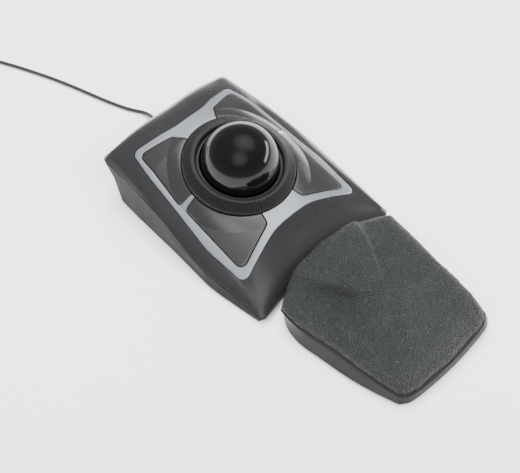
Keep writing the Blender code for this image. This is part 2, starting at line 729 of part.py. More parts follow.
def make_button(name, ring):
    side, end = BUTTON_PLACES[name]
    key = deck_slab("button_" + name, 0.0, BUTTON_THICKNESS)
    outline = curve_solid(name + "_outline", [rounded(button_corners(name))], 0.0, 90.0, DEVICE)
    add_boolean(key, outline, "INTERSECT")
    add_boolean(key, ring, "DIFFERENCE")
    x = side * HINGE_X
    v = HINGE_V[end]
    ear = box(name + "_ear", HINGE_EAR, (x, v, HINGE_EAR_BOTTOM + HINGE_EAR[2] / 2), DECK)
    add_boolean(key, ear, "UNION")
    post_low = SWITCH_TOP + PLUNGER_RISE + GAP
    post = box(name + "_post", BUTTON_POST,
               (side * SWITCH_X, end * SWITCH_V, post_low + BUTTON_POST[2] / 2), DECK)
    add_boolean(key, post, "UNION")
    bore = cylinder(name + "_bore", HINGE_BORE, 20.0, (x, v, HINGE_W), DECK,
                    (math.radians(90), 0.0, 0.0), sides=16)
    add_boolean(key, bore, "DIFFERENCE")
    hinge = new_empty(name + "_hinge", (x, v, HINGE_W), DECK)
    key.data.transform(hinge_from_device(hinge))
    key.parent = hinge
    finish(key, "button_satin")


def hinge_from_device(hinge):
    """Matrix that carries a mesh of the device frame into a hinge's frame."""
    tilt = Matrix.Translation((0.0, 0.0, BALL_HEIGHT * MM)) @ Matrix.Rotation(DECK_TILT, 4, "X")
    return (tilt @ Matrix.Translation(hinge.location)).inverted()


def make_switch(name):
    side, end = BUTTON_PLACES[name]
    x = side * SWITCH_X
    v = end * SWITCH_V
    body = box("switch_" + name, SWITCH_SIZE, (x, v, SWITCH_BOTTOM + SWITCH_SIZE[2] / 2), DECK)
    pocket = box(name + "_pocket", SWITCH_POCKET, (x, v, SWITCH_TOP), DECK)
    add_boolean(body, pocket, "DIFFERENCE")
    finish(body, "switch_black")
    height = SWITCH_TOP + PLUNGER_RISE - PLUNGER_SIZE[2] / 2
    plunger = box("switch_plunger_" + name, PLUNGER_SIZE, (x, v, height), DECK)
    finish(plunger, "plunger_red")


def make_hinge_pin(name):
    side, end = BUTTON_PLACES[name]
    length = HINGE_EAR[1] + 2 * (GAP + HINGE_LUG[1])
    pin = cylinder("hinge_pin_" + name, HINGE_PIN_RADIUS, length,
                   (side * HINGE_X, HINGE_V[end], HINGE_W), DECK,
                   (math.radians(90), 0.0, 0.0), sides=16)
    finish(pin, "pin_steel")


def make_button_frame():
    half = list(FRAME_HALF)
    outline = rounded(half + mirrored(half)[::-1])
    frame = curve_solid("button_frame", [outline, circle(FRAME_HOLE, 36)],
                        FRAME_TOP - FRAME_THICKNESS, FRAME_TOP, DECK)
    for name, (side, end) in BUTTON_PLACES.items():
        x = side * HINGE_X
        v = HINGE_V[end]
        window = box(name + "_window", (SWITCH_SIZE[0] + 0.8, SWITCH_SIZE[1] + 0.8, 6.0),
                     (side * SWITCH_X, end * SWITCH_V, FRAME_TOP), DECK)
        add_boolean(frame, window, "DIFFERENCE")
        ear_slot = box(name + "_ear_slot", (HINGE_EAR[0] + 1.2, HINGE_EAR[1] + 2 * GAP, 6.0),
                       (x, v, FRAME_TOP), DECK)
        add_boolean(frame, ear_slot, "DIFFERENCE")
        for along in (-1, 1):
            step = (HINGE_EAR[1] + HINGE_LUG[1]) / 2 + GAP
            lug = box(name + "_lug", HINGE_LUG,
                      (x, v + along * step, HINGE_LUG_TOP - HINGE_LUG[2] / 2), DECK)
            add_boolean(frame, lug, "UNION")
        bore = cylinder(name + "_pin_bore", HINGE_BORE, 2 * HINGE_EAR[1], (x, v, HINGE_W), DECK,
                        (math.radians(90), 0.0, 0.0), sides=16)
        add_boolean(frame, bore, "DIFFERENCE")
    for name, place in screw_places().items():
        if name.startswith("frame"):
            join_post(frame, name, place)
    finish(frame, "inner_plastic")


def make_main_board():
    half = list(BOARD_HALF)
    outline = rounded(half + mirrored(half)[::-1])
    board = curve_solid("main_board", [outline, circle(BOARD_HOLE)],
                        BOARD_TOP - BOARD_THICKNESS, BOARD_TOP, DECK)
    finish(board, "board_green")


# --- ball, cup and scroll ring --------------------------------------------------------------

def arc(radius, start, end, steps):
    """Points of an arc round the ball's centre, as radius and height, between two angles."""
    points = []
    for step in range(steps + 1):
        angle = start + (end - start) * step / steps
        points.append((radius * math.cos(angle), radius * math.sin(angle)))
    return points


def sensor_direction():
    return Vector((0.0, math.sin(SENSOR_ANGLE), -math.cos(SENSOR_ANGLE)))


def make_ball_cup():
    outer = CUP_RADIUS + CUP_WALL
    inside = arc(CUP_RADIUS, math.radians(-90), math.asin(CUP_LIP / CUP_RADIUS), 8)
    inside[0] = (0.0, -CUP_RADIUS)
    outside = arc(outer, math.asin(CUP_FLANGE[1] / outer), math.radians(-90), 6)
    outside[-1] = (0.0, -outer)
    skirt_low = FRAME_TOP + GAP
    profile = inside + [
        (CUP_NECK, CUP_LIP), (CUP_NECK, CUP_FLANGE[0]), (CUP_SKIRT[1], CUP_FLANGE[0]),
        (CUP_SKIRT[1], skirt_low), (CUP_SKIRT[0], skirt_low), (CUP_SKIRT[0], CUP_FLANGE[1]),
    ] + outside
    cup = turned("ball_cup", profile, 36, DECK, ring=False)
    aim = sensor_direction()
    tilt = (SENSOR_ANGLE + math.radians(180), 0.0, 0.0)
    window = cylinder("sensor_window", SENSOR_APERTURE, 10.0, aim * (CUP_RADIUS + 1.0), DECK,
                      tilt, sides=20)
    add_boolean(cup, window, "DIFFERENCE")
    for number, turn in enumerate(BEARING_TURNS, 1):
        reach = BALL_RADIUS + BEARING_RADIUS + GAP
        level = reach * math.cos(BEARING_ANGLE)
        angle = math.radians(turn)
        place = (level * math.cos(angle), level * math.sin(angle), reach * math.sin(BEARING_ANGLE))
        pocket = sphere(f"bearing_pocket_{number}", BEARING_RADIUS + GAP, place, DECK)
        add_boolean(cup, pocket, "DIFFERENCE")
        bearing = sphere(f"ball_bearing_{number}", BEARING_RADIUS, place, DECK)
        finish(bearing, "bearing_ceramic", 60.0)
    finish(cup, "inner_plastic")
    lens = cylinder("sensor_lens", LENS_SIZE[0], LENS_SIZE[1], aim * LENS_REACH, DECK, tilt,
                    sides=20)
    finish(lens, "lens_clear")
    chip = box("sensor_chip", CHIP_SIZE, aim * CHIP_REACH, DECK, tilt)
    finish(chip, "switch_black")
    board = box("sensor_board", SENSOR_BOARD_SIZE, aim * SENSOR_BOARD_REACH, DECK, tilt)
    finish(board, "board_green")


def make_ball():
    ball = sphere("ball", BALL_RADIUS, (0.0, 0.0, BALL_HEIGHT), DEVICE, sides=28, rings=14)
    finish(ball, "ball_gloss", 60.0)


def make_scroll_ring():
    ring = turned("scroll_ring", RING_PROFILE, 48, DECK)
    finish(ring, "ring_rubber")
    teeth = []
    for tooth in range(ENCODER_TEETH):
        for part, radius in ((0.0, ENCODER_INNER), (0.5, ENCODER_INNER),
                             (0.5, ENCODER_INNER + 1.0), (1.0, ENCODER_INNER + 1.0)):
            angle = math.tau * (tooth + part) / ENCODER_TEETH
            teeth.append((radius * math.cos(angle), radius * math.sin(angle)))
    encoder = curve_solid("encoder_ring", [circle(ENCODER_OUTER), teeth],
                          ENCODER_BOTTOM, ENCODER_TOP, DECK)
    finish(encoder, "inner_plastic")
    low = CUP_FLANGE[0] + GAP
    middle = (CUP_NECK + ENCODER_INNER) / 2
    sensor = box("encoder_sensor", ENCODER_SENSOR_SIZE,
                 (0.0, middle, low + ENCODER_SENSOR_SIZE[2] / 2), DECK)
    finish(sensor, "switch_black")


# --- wrist rest ----------------------------------------------------------------------------

def make_rest_tray():
    bottom = full_ring(TRAY_BOTTOM)
    rim = full_ring(TRAY_RIM)
    floor = inset(bottom, TRAY_WALL, TRAY_WALL)
    mesh = loft_mesh("rest_tray", [bottom, rim, inset(rim, TRAY_WALL), floor], True, True)
    tray = wrap_mesh("rest_tray", mesh, DEVICE)
    for side in (-1, 1):
        tab = box("rest_tab", TAB_SIZE, (side * SLOT_X, TAB_Y, SLOT_Z), DEVICE)
        add_boolean(tray, tab, "UNION")
    finish(tray, "rest_side")


def make_rest_pad():
    bottom = full_ring(TRAY_BOTTOM)
    rim = full_ring(TRAY_RIM)
    top = full_ring(PAD_TOP)
    rings = [inset(bottom, TRAY_WALL + GAP, TRAY_WALL + GAP), inset(rim, TRAY_WALL + GAP, GAP),
             inset(rim, 0.2, GAP), inset(top, -0.5, -3.0), inset(top, 0.0, -1.2),
             inset(top, 1.4)]
    for factor in (0.84, 0.6, 0.3, 0.06):
        ring = scaled(top, factor, PAD_CENTRE_Y)
        rings.append([Vector((p.x, p.y, at_levels(PAD_HEIGHTS, p.y))) for p in ring])
    pad = wrap_mesh("rest_pad", loft_mesh("rest_pad", rings, True, True), DEVICE)
    half = through([(x, y, 0.0) for x, y in HUMP_HALF], 16)
    outline = half + [Vector((-p.x, p.y, 0.0)) for p in half[-2:0:-1]]
    levels = []
    for factor, drop in ((0.99, None), (1.0, 4.6), (0.96, 1.6), (0.88, 0.0), (0.4, -0.4)):
        ring = scaled(outline, factor, HUMP_CENTRE_Y)
        if drop is None:
            levels.append([Vector((p.x, p.y, 13.2)) for p in ring])
        else:
            levels.append([Vector((p.x, p.y, at_levels(HUMP_HEIGHTS, p.y) - drop)) for p in ring])
    hump = wrap_mesh("rest_hump", loft_mesh("rest_hump", levels, True, True), DEVICE)
    add_boolean(pad, hump, "UNION")
    finish(pad, "rest_leather", 50.0)


# --- cable ---------------------------------------------------------------------------------

def make_tube(name, route, step):
    length = sum((Vector(b) - Vector(a)).length for a, b in zip(route, route[1:]))
    points = through(route, max(2, round(length / step)))
    curve = bpy.data.curves.new(name, "CURVE")
    curve.dimensions = "3D"
    curve.bevel_depth = CABLE_RADIUS * MM
    curve.bevel_resolution = 2
    curve.use_fill_caps = True
    spline = curve.splines.new("POLY")
    spline.points.add(len(points) - 1)
    for control, point in zip(spline.points, points):
        control.co = (*(point * MM), 1.0)
    holder = bpy.data.objects.new(name + "_curve", curve)
    CUTTERS.objects.link(holder)
    mesh = bake_modifiers(holder)
    bpy.data.objects.remove(holder, do_unlink=True)
    finish(wrap_mesh(name, mesh, DEVICE), "cable_rubber")


def make_cable():
    relief = turned("strain_relief", RELIEF_PROFILE, 20, DEVICE, (0.0, 0.0, RELIEF_Z),
                    (math.radians(-90), 0.0, 0.0), ring=False)
    finish(relief, "cable_rubber")
    make_tube("cable", CABLE_ROUTE, CABLE_STEP)
    make_tube("cable_tail", TAIL_ROUTE, CABLE_STEP)
    width, height = COIL_TUBE
    profile = []
    for step in range(8):
        angle = -math.tau * (step + 0.5) / 8
        profile.append((COIL_RING + width * math.cos(angle), height * math.sin(angle)))
    coil = turned("cable_coil", profile, 32, DEVICE, (*COIL_CENTRE, height + 0.1))
    finish(coil, "cable_rubber", 60.0)
    x, y, z = PLUG_BACK
    body = box("usb_plug_body", PLUG_BODY, (x, y - PLUG_BODY[1] / 2, z), DEVICE, bevel=1.2)
    finish(body, "plug_plastic")
    front = y - PLUG_BODY[1] - GAP
    shell = box("usb_plug_shell", PLUG_SHELL, (x, front - PLUG_SHELL[1] / 2, z), DEVICE)
    mouth_size = (PLUG_SHELL[0] - 2 * PLUG_WALL, PLUG_SHELL[1], PLUG_SHELL[2] / 2 - PLUG_WALL)
    mouth = box("plug_mouth", mouth_size,
                (x, front - PLUG_SHELL[1] / 2 - 2.0, z + mouth_size[2] / 2), DEVICE)
    add_boolean(shell, mouth, "DIFFERENCE")
    finish(shell, "plug_metal")


def build():
    buttons, ring = deck_openings()
    make_top_cover(buttons)
    make_base_housing()
    make_bezel(buttons, ring)
    make_screws_and_feet()
    for name in BUTTON_PLACES:
        make_button(name, ring)
        make_switch(name)
        make_hinge_pin(name)
    make_button_frame()
    make_main_board()
    make_ball_cup()
    make_ball()
    make_scroll_ring()
    make_rest_tray()
    make_rest_pad()
    make_cable()


clear_scene()
PARTS = new_collection("trackball_mouse")
CUTTERS = new_collection("cutters")
DEVICE = new_empty("device", (0.0, BALL_Y, 0.0))
DECK = new_empty("deck", (0.0, 0.0, BALL_HEIGHT), DEVICE, (DECK_TILT, 0.0, 0.0))
build()
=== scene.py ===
"""Looks of the trackball: camera, cord, detailed shells, ring, ball, buttons and leather rest.

Lengths are in millimetres in the device frame, whose origin is on the table under the ball's
centre, +X to the user's right, +Y away from the user and +Z up. MM turns them into metres.
"""
import math

import bmesh
import bpy
import numpy as np
from mathutils import Matrix, Vector
from mathutils.geometry import delaunay_2d_cdt


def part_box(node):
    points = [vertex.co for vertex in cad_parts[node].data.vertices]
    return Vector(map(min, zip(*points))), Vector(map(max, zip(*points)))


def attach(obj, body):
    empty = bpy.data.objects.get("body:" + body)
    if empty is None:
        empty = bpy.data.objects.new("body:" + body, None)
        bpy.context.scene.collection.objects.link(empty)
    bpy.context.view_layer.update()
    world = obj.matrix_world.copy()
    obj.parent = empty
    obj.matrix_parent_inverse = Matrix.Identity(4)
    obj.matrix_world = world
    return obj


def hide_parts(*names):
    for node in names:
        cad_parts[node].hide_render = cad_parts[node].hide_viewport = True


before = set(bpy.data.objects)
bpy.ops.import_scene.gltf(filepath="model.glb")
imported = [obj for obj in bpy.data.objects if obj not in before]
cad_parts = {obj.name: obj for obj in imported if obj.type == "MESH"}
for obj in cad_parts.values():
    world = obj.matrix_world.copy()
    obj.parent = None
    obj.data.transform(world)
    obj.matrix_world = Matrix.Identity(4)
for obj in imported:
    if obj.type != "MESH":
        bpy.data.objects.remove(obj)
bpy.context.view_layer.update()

MM = 0.001
ball_low, ball_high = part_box("ball")
BALL_CENTRE = (ball_low + ball_high) / 2
BALL_RADIUS = (ball_high.z - ball_low.z) / 2 / MM
ORIGIN = Vector((0.0, BALL_CENTRE.y, 0.0))
DECK_TILT = math.radians(11.5)

# Camera
CAMERA_PLACE = (-298.6, -317.9, 546.3)
CAMERA_AZIMUTH = math.radians(45.06)
CAMERA_ELEVATION = math.radians(53.68)
CAMERA_ROLL = math.radians(0.333)
CAMERA_LENS = 66.25

# Deck: a tilted plane, crowned across, with a dished band round the scroll ring
DECK_CENTRE_Y = 0.9
DECK_Z = 37.5
DECK_CROWN = 0.0041
DECK_BACK_FALL = 0.2
DECK_BACK_START = 40.0
DISH_INNER = 41.0
DISH_OUTER = 50.5
DISH_SHARE = 0.35
BEZEL_THICKNESS = 1.5
BUTTON_THICKNESS = 2.4
BUTTON_GAP = 0.7
SIDE_GAP = 0.3
EDGE_ROUND = 0.3
RING_OPENING = 41.1

# Mesh of the deck's plates: spacing of the points, and height of a row of triangles
GRID_STEP = 2.0
GRID_ROW = 0.866
GRID_REACH = 160
CIRCLE_STEPS = 180

# Cover: the shelf under the bezel, the wall, and the rows that are evened out along the rim
SHELF_DEPTH = 2.1
SHELF_SHARE = 0.965
RECESS_BREAK = 0.35
CREASE_LIFT = 0.15
COVER_WALL = 1.8
COVER_SAMPLES = 400
COVER_ROWS = 14
COVER_TOP_ROWS = 5
COVER_SOFT_ROWS = (6, 15)
COVER_SOFT_PASSES = 10

# Right half of the bezel and the two right buttons, as each corner's x, y and radius
BEZEL_HALF = (
    (12.0, 53.4, 40.0), (46.2, 61.2, 4.5), (50.7, 40.0, 60.0), (53.7, 8.0, 80.0),
    (57.4, -26.0, 60.0), (55.8, -61.6, 5.5), (17.0, -50.4, 60.0),
)
BACK_BUTTON = (
    (13.9, 36.0, 0.0), (15.0, 39.7, 0.0), (20.4, 48.4, 3.0), (44.2, 55.5, 4.0),
    (50.0, 8.4, 2.5), (39.0, 5.6, 0.0), (20.0, 10.0, 0.0),
)
FRONT_BUTTON = (
    (20.0, -4.0, 0.0), (39.0, 1.8, 0.0), (49.6, 2.6, 2.5), (51.0, -54.6, 4.5),
    (17.4, -44.0, 4.0), (14.8, -34.0, 0.0),
)
BUTTON_PLACES = {
    "back_left": (-1, 1), "back_right": (1, 1), "front_left": (-1, -1), "front_right": (1, -1),
}

# Outlines of the cover's right half from the deck down, as back edge, side and front edge
DECK_EDGE = (
    ((0, 53.5), (23, 56), (46.4, 61.4)),
    ((46.4, 61.4), (50.9, 40), (53.8, 8), (57.5, -24), (55.9, -61.9)),
    ((55.9, -61.9), (36, -56.2), (16, -50.3), (0, -48.1)),
)
SHOULDER = (
    ((0, 65, 43.6), (26, 66.5, 42.4), (50.8, 69, 35.2)),
    ((50.8, 69, 35.2), (56.2, 40, 31.8), (59.2, 8, 24.8), (61.8, -24, 16.8), (58.6, -72, 10.2)),
    ((58.6, -72, 10.2), (32, -63.5, 17.4), (0, -57, 21.8)),
)
ROUNDING = (
    ((0, 76, 38.6), (28, 77, 37.6), (55.6, 76.5, 32.4)),
    ((55.6, 76.5, 32.4), (59.8, 40, 29.0), (62.4, 8, 22.9), (65.2, -24, 14.0), (61.8, -82, 7.6)),
    ((61.8, -82, 7.6), (36, -73.5, 11.6), (0, -67.5, 15.8)),
)
CREASE = (
    ((0, 82, 28.0), (30, 82.2, 27.6), (60.0, 80.5, 26.6)),
    ((60.0, 80.5, 26.6), (61.8, 40, 26.0), (64.2, 8, 21.0), (67.2, -28, 10.8), (63.6, -87.6, 4.4)),
    ((63.6, -87.6, 4.4), (38, -80.5, 6.8), (0, -76, 10.2)),
)

# Wrist rest: outlines of the right half, as back edge, side and front edge, and their samples
OUTLINE_STEPS = (20, 60, 20)
TRAY_BOTTOM = (
    ((0, -78.0, 1.5), (30, -81.0, 1.5), (46, -87.5, 1.5)),
    ((46, -87.5, 1.5), (55, -100, 1.5), (58.2, -114, 1.5), (56.7, -132, 1.5), (54.1, -155, 1.5),
     (50.6, -171.5, 1.5), (45.5, -189, 1.5)),
    ((45.5, -189, 1.5), (39, -193.2, 1.5), (20, -195.5, 1.5), (0, -196.3, 1.5)),
)
TRAY_RIM = (
    ((0, -77.4, 11.0), (30, -81.0, 11.5), (54.6, -93.5, 14.6)),
    ((54.6, -93.5, 14.6), (55.6, -104, 13.7), (54.6, -118, 13.0), (51.0, -140, 12.6),
     (48.8, -160, 11.6), (46.9, -175, 9.8), (43.6, -187.0, 7.8)),
    ((43.6, -187.0, 7.8), (37, -191.6, 7.4), (20, -193.8, 7.0), (0, -194.6, 7.0)),
)
PAD_TOP = (
    ((0, -77.6, 17.4), (30, -81.2, 17.6), (54.2, -94.0, 18.2)),
    ((54.2, -94.0, 18.2), (54.6, -104, 17.2), (52.8, -118, 16.8), (49.4, -140, 16.7),
     (47.3, -160, 15.3), (45.2, -175, 13.5), (42.0, -185.5, 11.6)),
    ((42.0, -185.5, 11.6), (36, -189.6, 10.9), (20, -191.4, 10.4), (0, -192.2, 10.4)),
)

# Tray: rings as inset and lift from the bottom, as shares of its side, and from the rim
TRAY_FOOT = ((0.6, 0.0), (0.1, 0.5))
TRAY_SIDE = (0.14, 0.3, 0.5, 0.7, 0.86)
TRAY_LIP = ((0.05, -0.5), (0.6, 0.0), (2.2, 0.0))
TRAY_WALL = 2.2

# Cushion: rings as inset and lift from the tray's rim and from its own top, then the field,
# whose rows shrink towards the centre and reach the cushion's heights within PAD_BLEND
PAD_WALL = 2.6
PAD_SEAM = ((2.6, 0.3), (0.3, 0.3), (-0.1, 0.8))
PAD_ROUNDING = ((-0.6, -3.4), (-0.5, -2.5), (0.0, -1.6), (1.0, -0.8), (2.6, -0.2))
PAD_FIELD = 3.6
PAD_ROWS = 34
PAD_TIP = 0.3
PAD_BLEND = 0.16

# Heights along the cushion and its raised tongue, as y and z, the tongue's outline and the
# slope at its edge, and the lip along the cushion's back
PAD_HEIGHTS = (
    (-77, 17.6), (-96, 18.4), (-110, 17.4), (-140, 17.0), (-160, 15.9), (-175, 14.2),
    (-186, 12.4), (-196, 10.6),
)
PAD_CENTRE_Y = -135.0
HUMP_BACK = ((0.0, -66.0), (36.5, -66.0))
HUMP_HALF = (
    (35, -81.4), (33, -88), (30, -98), (23, -110), (17, -121), (10, -128.5), (0, -131),
)
HUMP_HEIGHTS = ((-76, 23.6), (-100, 23.4), (-120, 21.8), (-131, 19.6))
HUMP_SKIRT = 2.0
HUMP_EDGE = 5.5
HUMP_SAMPLES = 30
LIP_START = -108.0
LIP_WIDTH = 20.0
LIP_RISE = 2.3

# Cloth run that fills the cushion: voxel size, greatest move, pressure and frames
PAD_VOXEL = 1.6
PAD_CAP = 0.5
PAD_PRESSURE = 4.0
PAD_FRAMES = 12

# Tabs of the tray
TAB_SIZE = (10.2, 7.6, 1.3)
TAB_X = 25.0
TAB_Y = -77.8
TAB_Z = 4.85
TAB_ROUND = 1.5

# Scroll ring, as radius and height in the deck frame, and the cuts of the ball's mesh
RING_BAND = ((40.4, -4.4), (34.0, 1.0))
RING_TOP = ((34.0, 1.0), (33.3, 1.15), (32.6, 1.1), (31.9, 0.9), (31.4, 0.55), (31.0, 0.0))
RING_UNDER = ((31.0, -1.5), (33.4, -1.5), (37.6, -5.0), (37.6, -7.0), (40.4, -7.0))
RING_RIBS = 144
RING_ROWS = 10
RIB_RUNOUT = 0.12
RIB_DEPTH = 1.1
RIB_SHAPE = (0.0, 0.0, 0.25, 1.0, 1.0, 0.25)
BALL_CUTS = 40
FROM_DECK = (Matrix.Translation((BALL_CENTRE - ORIGIN) / MM)
             @ Matrix.Rotation(DECK_TILT, 4, "X"))

# Cord: the route up to the coil, the coil's layers as height, radii and turns, and the tail
CORD_RADIUS = 1.4
CABLE_ROUTE = (
    (0.0, 88.3, 8.4), (0.5, 93.0, 8.1), (2.2, 98.0, 7.1), (4.1, 103.0, 5.3), (5.2, 109.0, 3.0),
    (4.6, 114.0, 1.8), (-0.7, 124.4, 1.5), (-6.0, 138.3, 1.5), (-10.7, 153.6, 1.5),
    (-14.9, 168.6, 1.5), (-19.7, 184.3, 1.5), (-25.0, 199.5, 1.5), (-33.0, 220.0, 1.5),
    (-42.0, 240.5, 1.5), (-51.0, 260.0, 1.5), (-56.6, 274.0, 1.5), (-58.6, 284.0, 1.6),
)
TAIL_ROUTE = ((-93.4, 285.4, 4.0), (-93.0, 279.0, 4.0), (-92.6, 272.3, 4.0))
COIL_CENTRE = (-76.5, 301.5)
COIL_START = -20.0
COIL_POINTS = 24
COIL_CROSSING = 0.25
COIL_LAYERS = (
    (1.5, (21.0, 18.2, 15.4, 12.6), 4.0), (4.3, (12.6, 15.4, 18.2, 21.0), 4.0),
    (7.1, (21.0, 18.2, 15.4, 12.6), 4.0), (9.9, (15.4, 18.2, 21.0), 2.556),
)
COIL_EXIT = (
    (-97.7, 301.0, 9.9), (-97.9, 294.5, 9.0), (-97.2, 289.6, 7.0), (-95.4, 284.6, 5.0),
)

# Strain relief and plug, as radius and y, and as distance, half width and half height
ROUND_STEPS = 48
RELIEF_Z = 8.4
RELIEF_TIP = ((1.45, 88.0), (2.1, 88.0))
RELIEF_RINGS = 6
RELIEF_RING_START = 86.6
RELIEF_RING_PITCH = 2.3
RELIEF_TAPER = 0.085
RELIEF_FLANGE = (
    (3.4, 72.2), (3.5, 71.4), (3.5, 68.6), (2.6, 68.6), (2.6, 60.9), (3.9, 60.9), (3.9, 59.5),
    (1.45, 59.5),
)
PLUG_BACK = (-92.6, 272.0, 4.0)
PLUG_CORNER = 0.35
PLUG_SECTIONS = (
    (0.0, 2.6, 2.4), (0.5, 3.1, 2.8), (4.0, 3.4, 3.0), (6.0, 6.2, 3.5), (7.0, 7.2, 3.75),
    (9.5, 7.45, 3.8), (10.0, 7.0, 3.5), (10.6, 7.0, 3.5), (11.0, 7.45, 3.8), (12.0, 7.45, 3.8),
    (12.4, 7.0, 3.5), (13.0, 7.0, 3.5), (13.4, 7.45, 3.8), (14.4, 7.45, 3.8), (14.8, 7.0, 3.5),
    (15.4, 7.0, 3.5), (15.8, 7.45, 3.8), (27.2, 7.45, 3.8), (27.8, 7.2, 3.5), (28.0, 6.8, 3.2),
)

# Studio: glows as direction, level and cosines, the horizon, and lamps as name, place,
# target, size, power and whether gloss mirrors them
GLOWS = (((0.3, 0.02, 0.95), 1.7, (0.85, 1.0)), ((-0.4, -0.4, 0.82), 1.5, (0.9, 1.0)))
HORIZON_HEIGHTS = (0.0, 0.4)
HORIZON_LEVEL = 0.55
SKY_LEVEL = 0.22
FLOOR_HALF = 6000.0
LIGHTS = (
    ("key", (0.5, 0.9, 1.3), (0.0, 0.0, 0.0), (1.1, 0.9), 60.0, False),
    ("fill", (-0.7, 0.3, 1.4), (0.0, 0.0, 0.0), (1.4, 1.4), 36.0, False),
    ("front", (0.2, -0.9, 1.2), (0.0, 0.0, 0.0), (1.2, 0.8), 22.0, False),
    ("strip", (0.8, -0.42, 0.22), (0.0, 0.057, 0.042), (0.9, 0.13), 4.0, True),
)


# --- geometry helpers ----------------------------------------------------------------------

def clamped(value):
    return min(max(value, 0.0), 1.0)


def eased(value):
    """Clamp to 0 to 1, with a slow start and end."""
    share = clamped(value)
    return share * share * (3.0 - 2.0 * share)


def deck_height(x, y):
    """Height of the deck's upper face above the table."""
    radius = math.hypot(x, y - DECK_CENTRE_Y)
    dish = clamped((radius - DISH_INNER) / (DISH_OUTER - DISH_INNER))
    crown = DECK_CROWN * x * x * (DISH_SHARE + (1.0 - DISH_SHARE) * dish)
    back = DECK_BACK_FALL * max(0.0, y - DECK_BACK_START)
    return DECK_Z + math.tan(DECK_TILT) * y - crown - back


def place(point):
    """A point of the device frame, in the row frame's metres."""
    return Vector(point) * MM + ORIGIN


def through(points, count):
    """Sample a smooth curve through control points, spaced by their distance."""
    points = [Vector(point) for point in points]
    knots = [0.0]
    for first, second in zip(points, points[1:]):
        knots.append(knots[-1] + max((second - first).length, 1e-6))
    slopes = []
    for index in range(len(points)):
        low = max(index - 1, 0)
        high = min(index + 1, len(points) - 1)
        slopes.append((points[high] - points[low]) / (knots[high] - knots[low]))
    samples = []
    span = 0
    for step in range(count + 1):
        at = knots[-1] * step / count
        while span < len(points) - 2 and at > knots[span + 1]:
            span += 1
        length = knots[span + 1] - knots[span]
        t = (at - knots[span]) / length
        samples.append(points[span] * (2 * t ** 3 - 3 * t ** 2 + 1)
                       + slopes[span] * length * (t ** 3 - 2 * t ** 2 + t)
                       + points[span + 1] * (3 * t ** 2 - 2 * t ** 3)
                       + slopes[span + 1] * length * (t ** 3 - t ** 2))
    return samples


def rounded(corners, step_angle=8.0):
    """Points of a closed outline whose corners, given as x, y and radius, are rounded."""
    outline = []
    count = len(corners)
    for index, (x, y, radius) in enumerate(corners):
        here = Vector((x, y))
        before = Vector(corners[index - 1][:2]) - here
        after = Vector(corners[(index + 1) % count][:2]) - here
        if radius <= 0.0:
            outline.append((x, y))
            continue
        angle = before.angle(after)
        reach = min(radius / math.tan(angle / 2), 0.48 * before.length, 0.48 * after.length)
        radius = reach * math.tan(angle / 2)
        middle = here + (before.normalized() + after.normalized()).normalized() * (
            radius / math.sin(angle / 2))
        start = here + before.normalized() * reach - middle
        turn = start.angle_signed(here + after.normalized() * reach - middle)
        steps = max(2, math.ceil(abs(turn) / math.radians(step_angle)))
        for step in range(steps + 1):
            point = middle + Matrix.Rotation(-turn * step / steps, 2) @ start
            outline.append((point.x, point.y))
    return outline


def offset_corners(corners, distance):
    """Move every side of a closed outline outwards, keeping x, y and corner radius."""
    points = [Vector(corner[:2]) for corner in corners]
    count = len(points)
    area = sum(a.x * b.y - b.x * a.y for a, b in zip(points, points[1:] + points[:1]))
    side = math.copysign(1.0, area)
    moved = []
    for index, point in enumerate(points):
        into = (point - points[index - 1]).normalized()
        out = (points[(index + 1) % count] - point).normalized()
        normal_in = Vector((into.y, -into.x)) * side
        normal_out = Vector((out.y, -out.x)) * side
        shift = (normal_in + normal_out) / (1.0 + normal_in.dot(normal_out)) * distance
        turn = (into.x * out.y - into.y * out.x) * side
        radius = corners[index][2]
        if radius > 0.0:
            radius = max(0.2, radius + distance * math.copysign(1.0, turn))
        moved.append((point.x + shift.x, point.y + shift.y, radius))
    return moved


def mirrored(corners):
    return [(-x, y, radius) for x, y, radius in corners]


def bezel_corners():
    return list(BEZEL_HALF) + mirrored(BEZEL_HALF)[::-1]


def button_corners(name):
    side, end = BUTTON_PLACES[name]
    corners = BACK_BUTTON if end > 0 else FRONT_BUTTON
    return list(corners) if side > 0 else mirrored(corners)


def new_object(name, bm, smooth_angle=40.0):
    """Link a bmesh in device millimetres as an object in the row frame."""
    mesh = bpy.data.meshes.new(name)
    bm.to_mesh(mesh)
    bm.free()
    mesh.transform(Matrix.Translation(ORIGIN) @ Matrix.Scale(MM, 4))
    item = bpy.data.objects.new(name, mesh)
    bpy.context.scene.collection.objects.link(item)
    mesh.shade_smooth()
    mesh.set_sharp_from_angle(angle=math.radians(smooth_angle))
    return item


def apply_modifiers(item, smooth_angle=40.0):
    graph = bpy.context.evaluated_depsgraph_get()
    mesh = bpy.data.meshes.new_from_object(item.evaluated_get(graph), depsgraph=graph)
    item.modifiers.clear()
    item.data = mesh
    mesh.shade_smooth()
    mesh.set_sharp_from_angle(angle=math.radians(smooth_angle))
    return item


def prism(name, outline, low, high):
    """Upright solid of one flat outline, in device millimetres."""
    bm = bmesh.new()
    bottom = [bm.verts.new((x, y, low)) for x, y in outline]
    top = [bm.verts.new((x, y, high)) for x, y in outline]
    bm.faces.new(bottom)
    bm.faces.new(top)
    for index in range(len(outline)):
        after = (index + 1) % len(outline)
        bm.faces.new((bottom[index], bottom[after], top[after], top[index]))
    bmesh.ops.recalc_face_normals(bm, faces=bm.faces)
    return new_object(name, bm)


def spaced(outline, gap):
    """Split the long sides of a closed outline."""
    points = []
    for first, second in zip(outline, outline[1:] + outline[:1]):
        first, second = Vector(first), Vector(second)
        count = math.ceil((second - first).length / gap - 1e-6)
        points += [first.lerp(second, step / count) for step in range(count)]
    return points


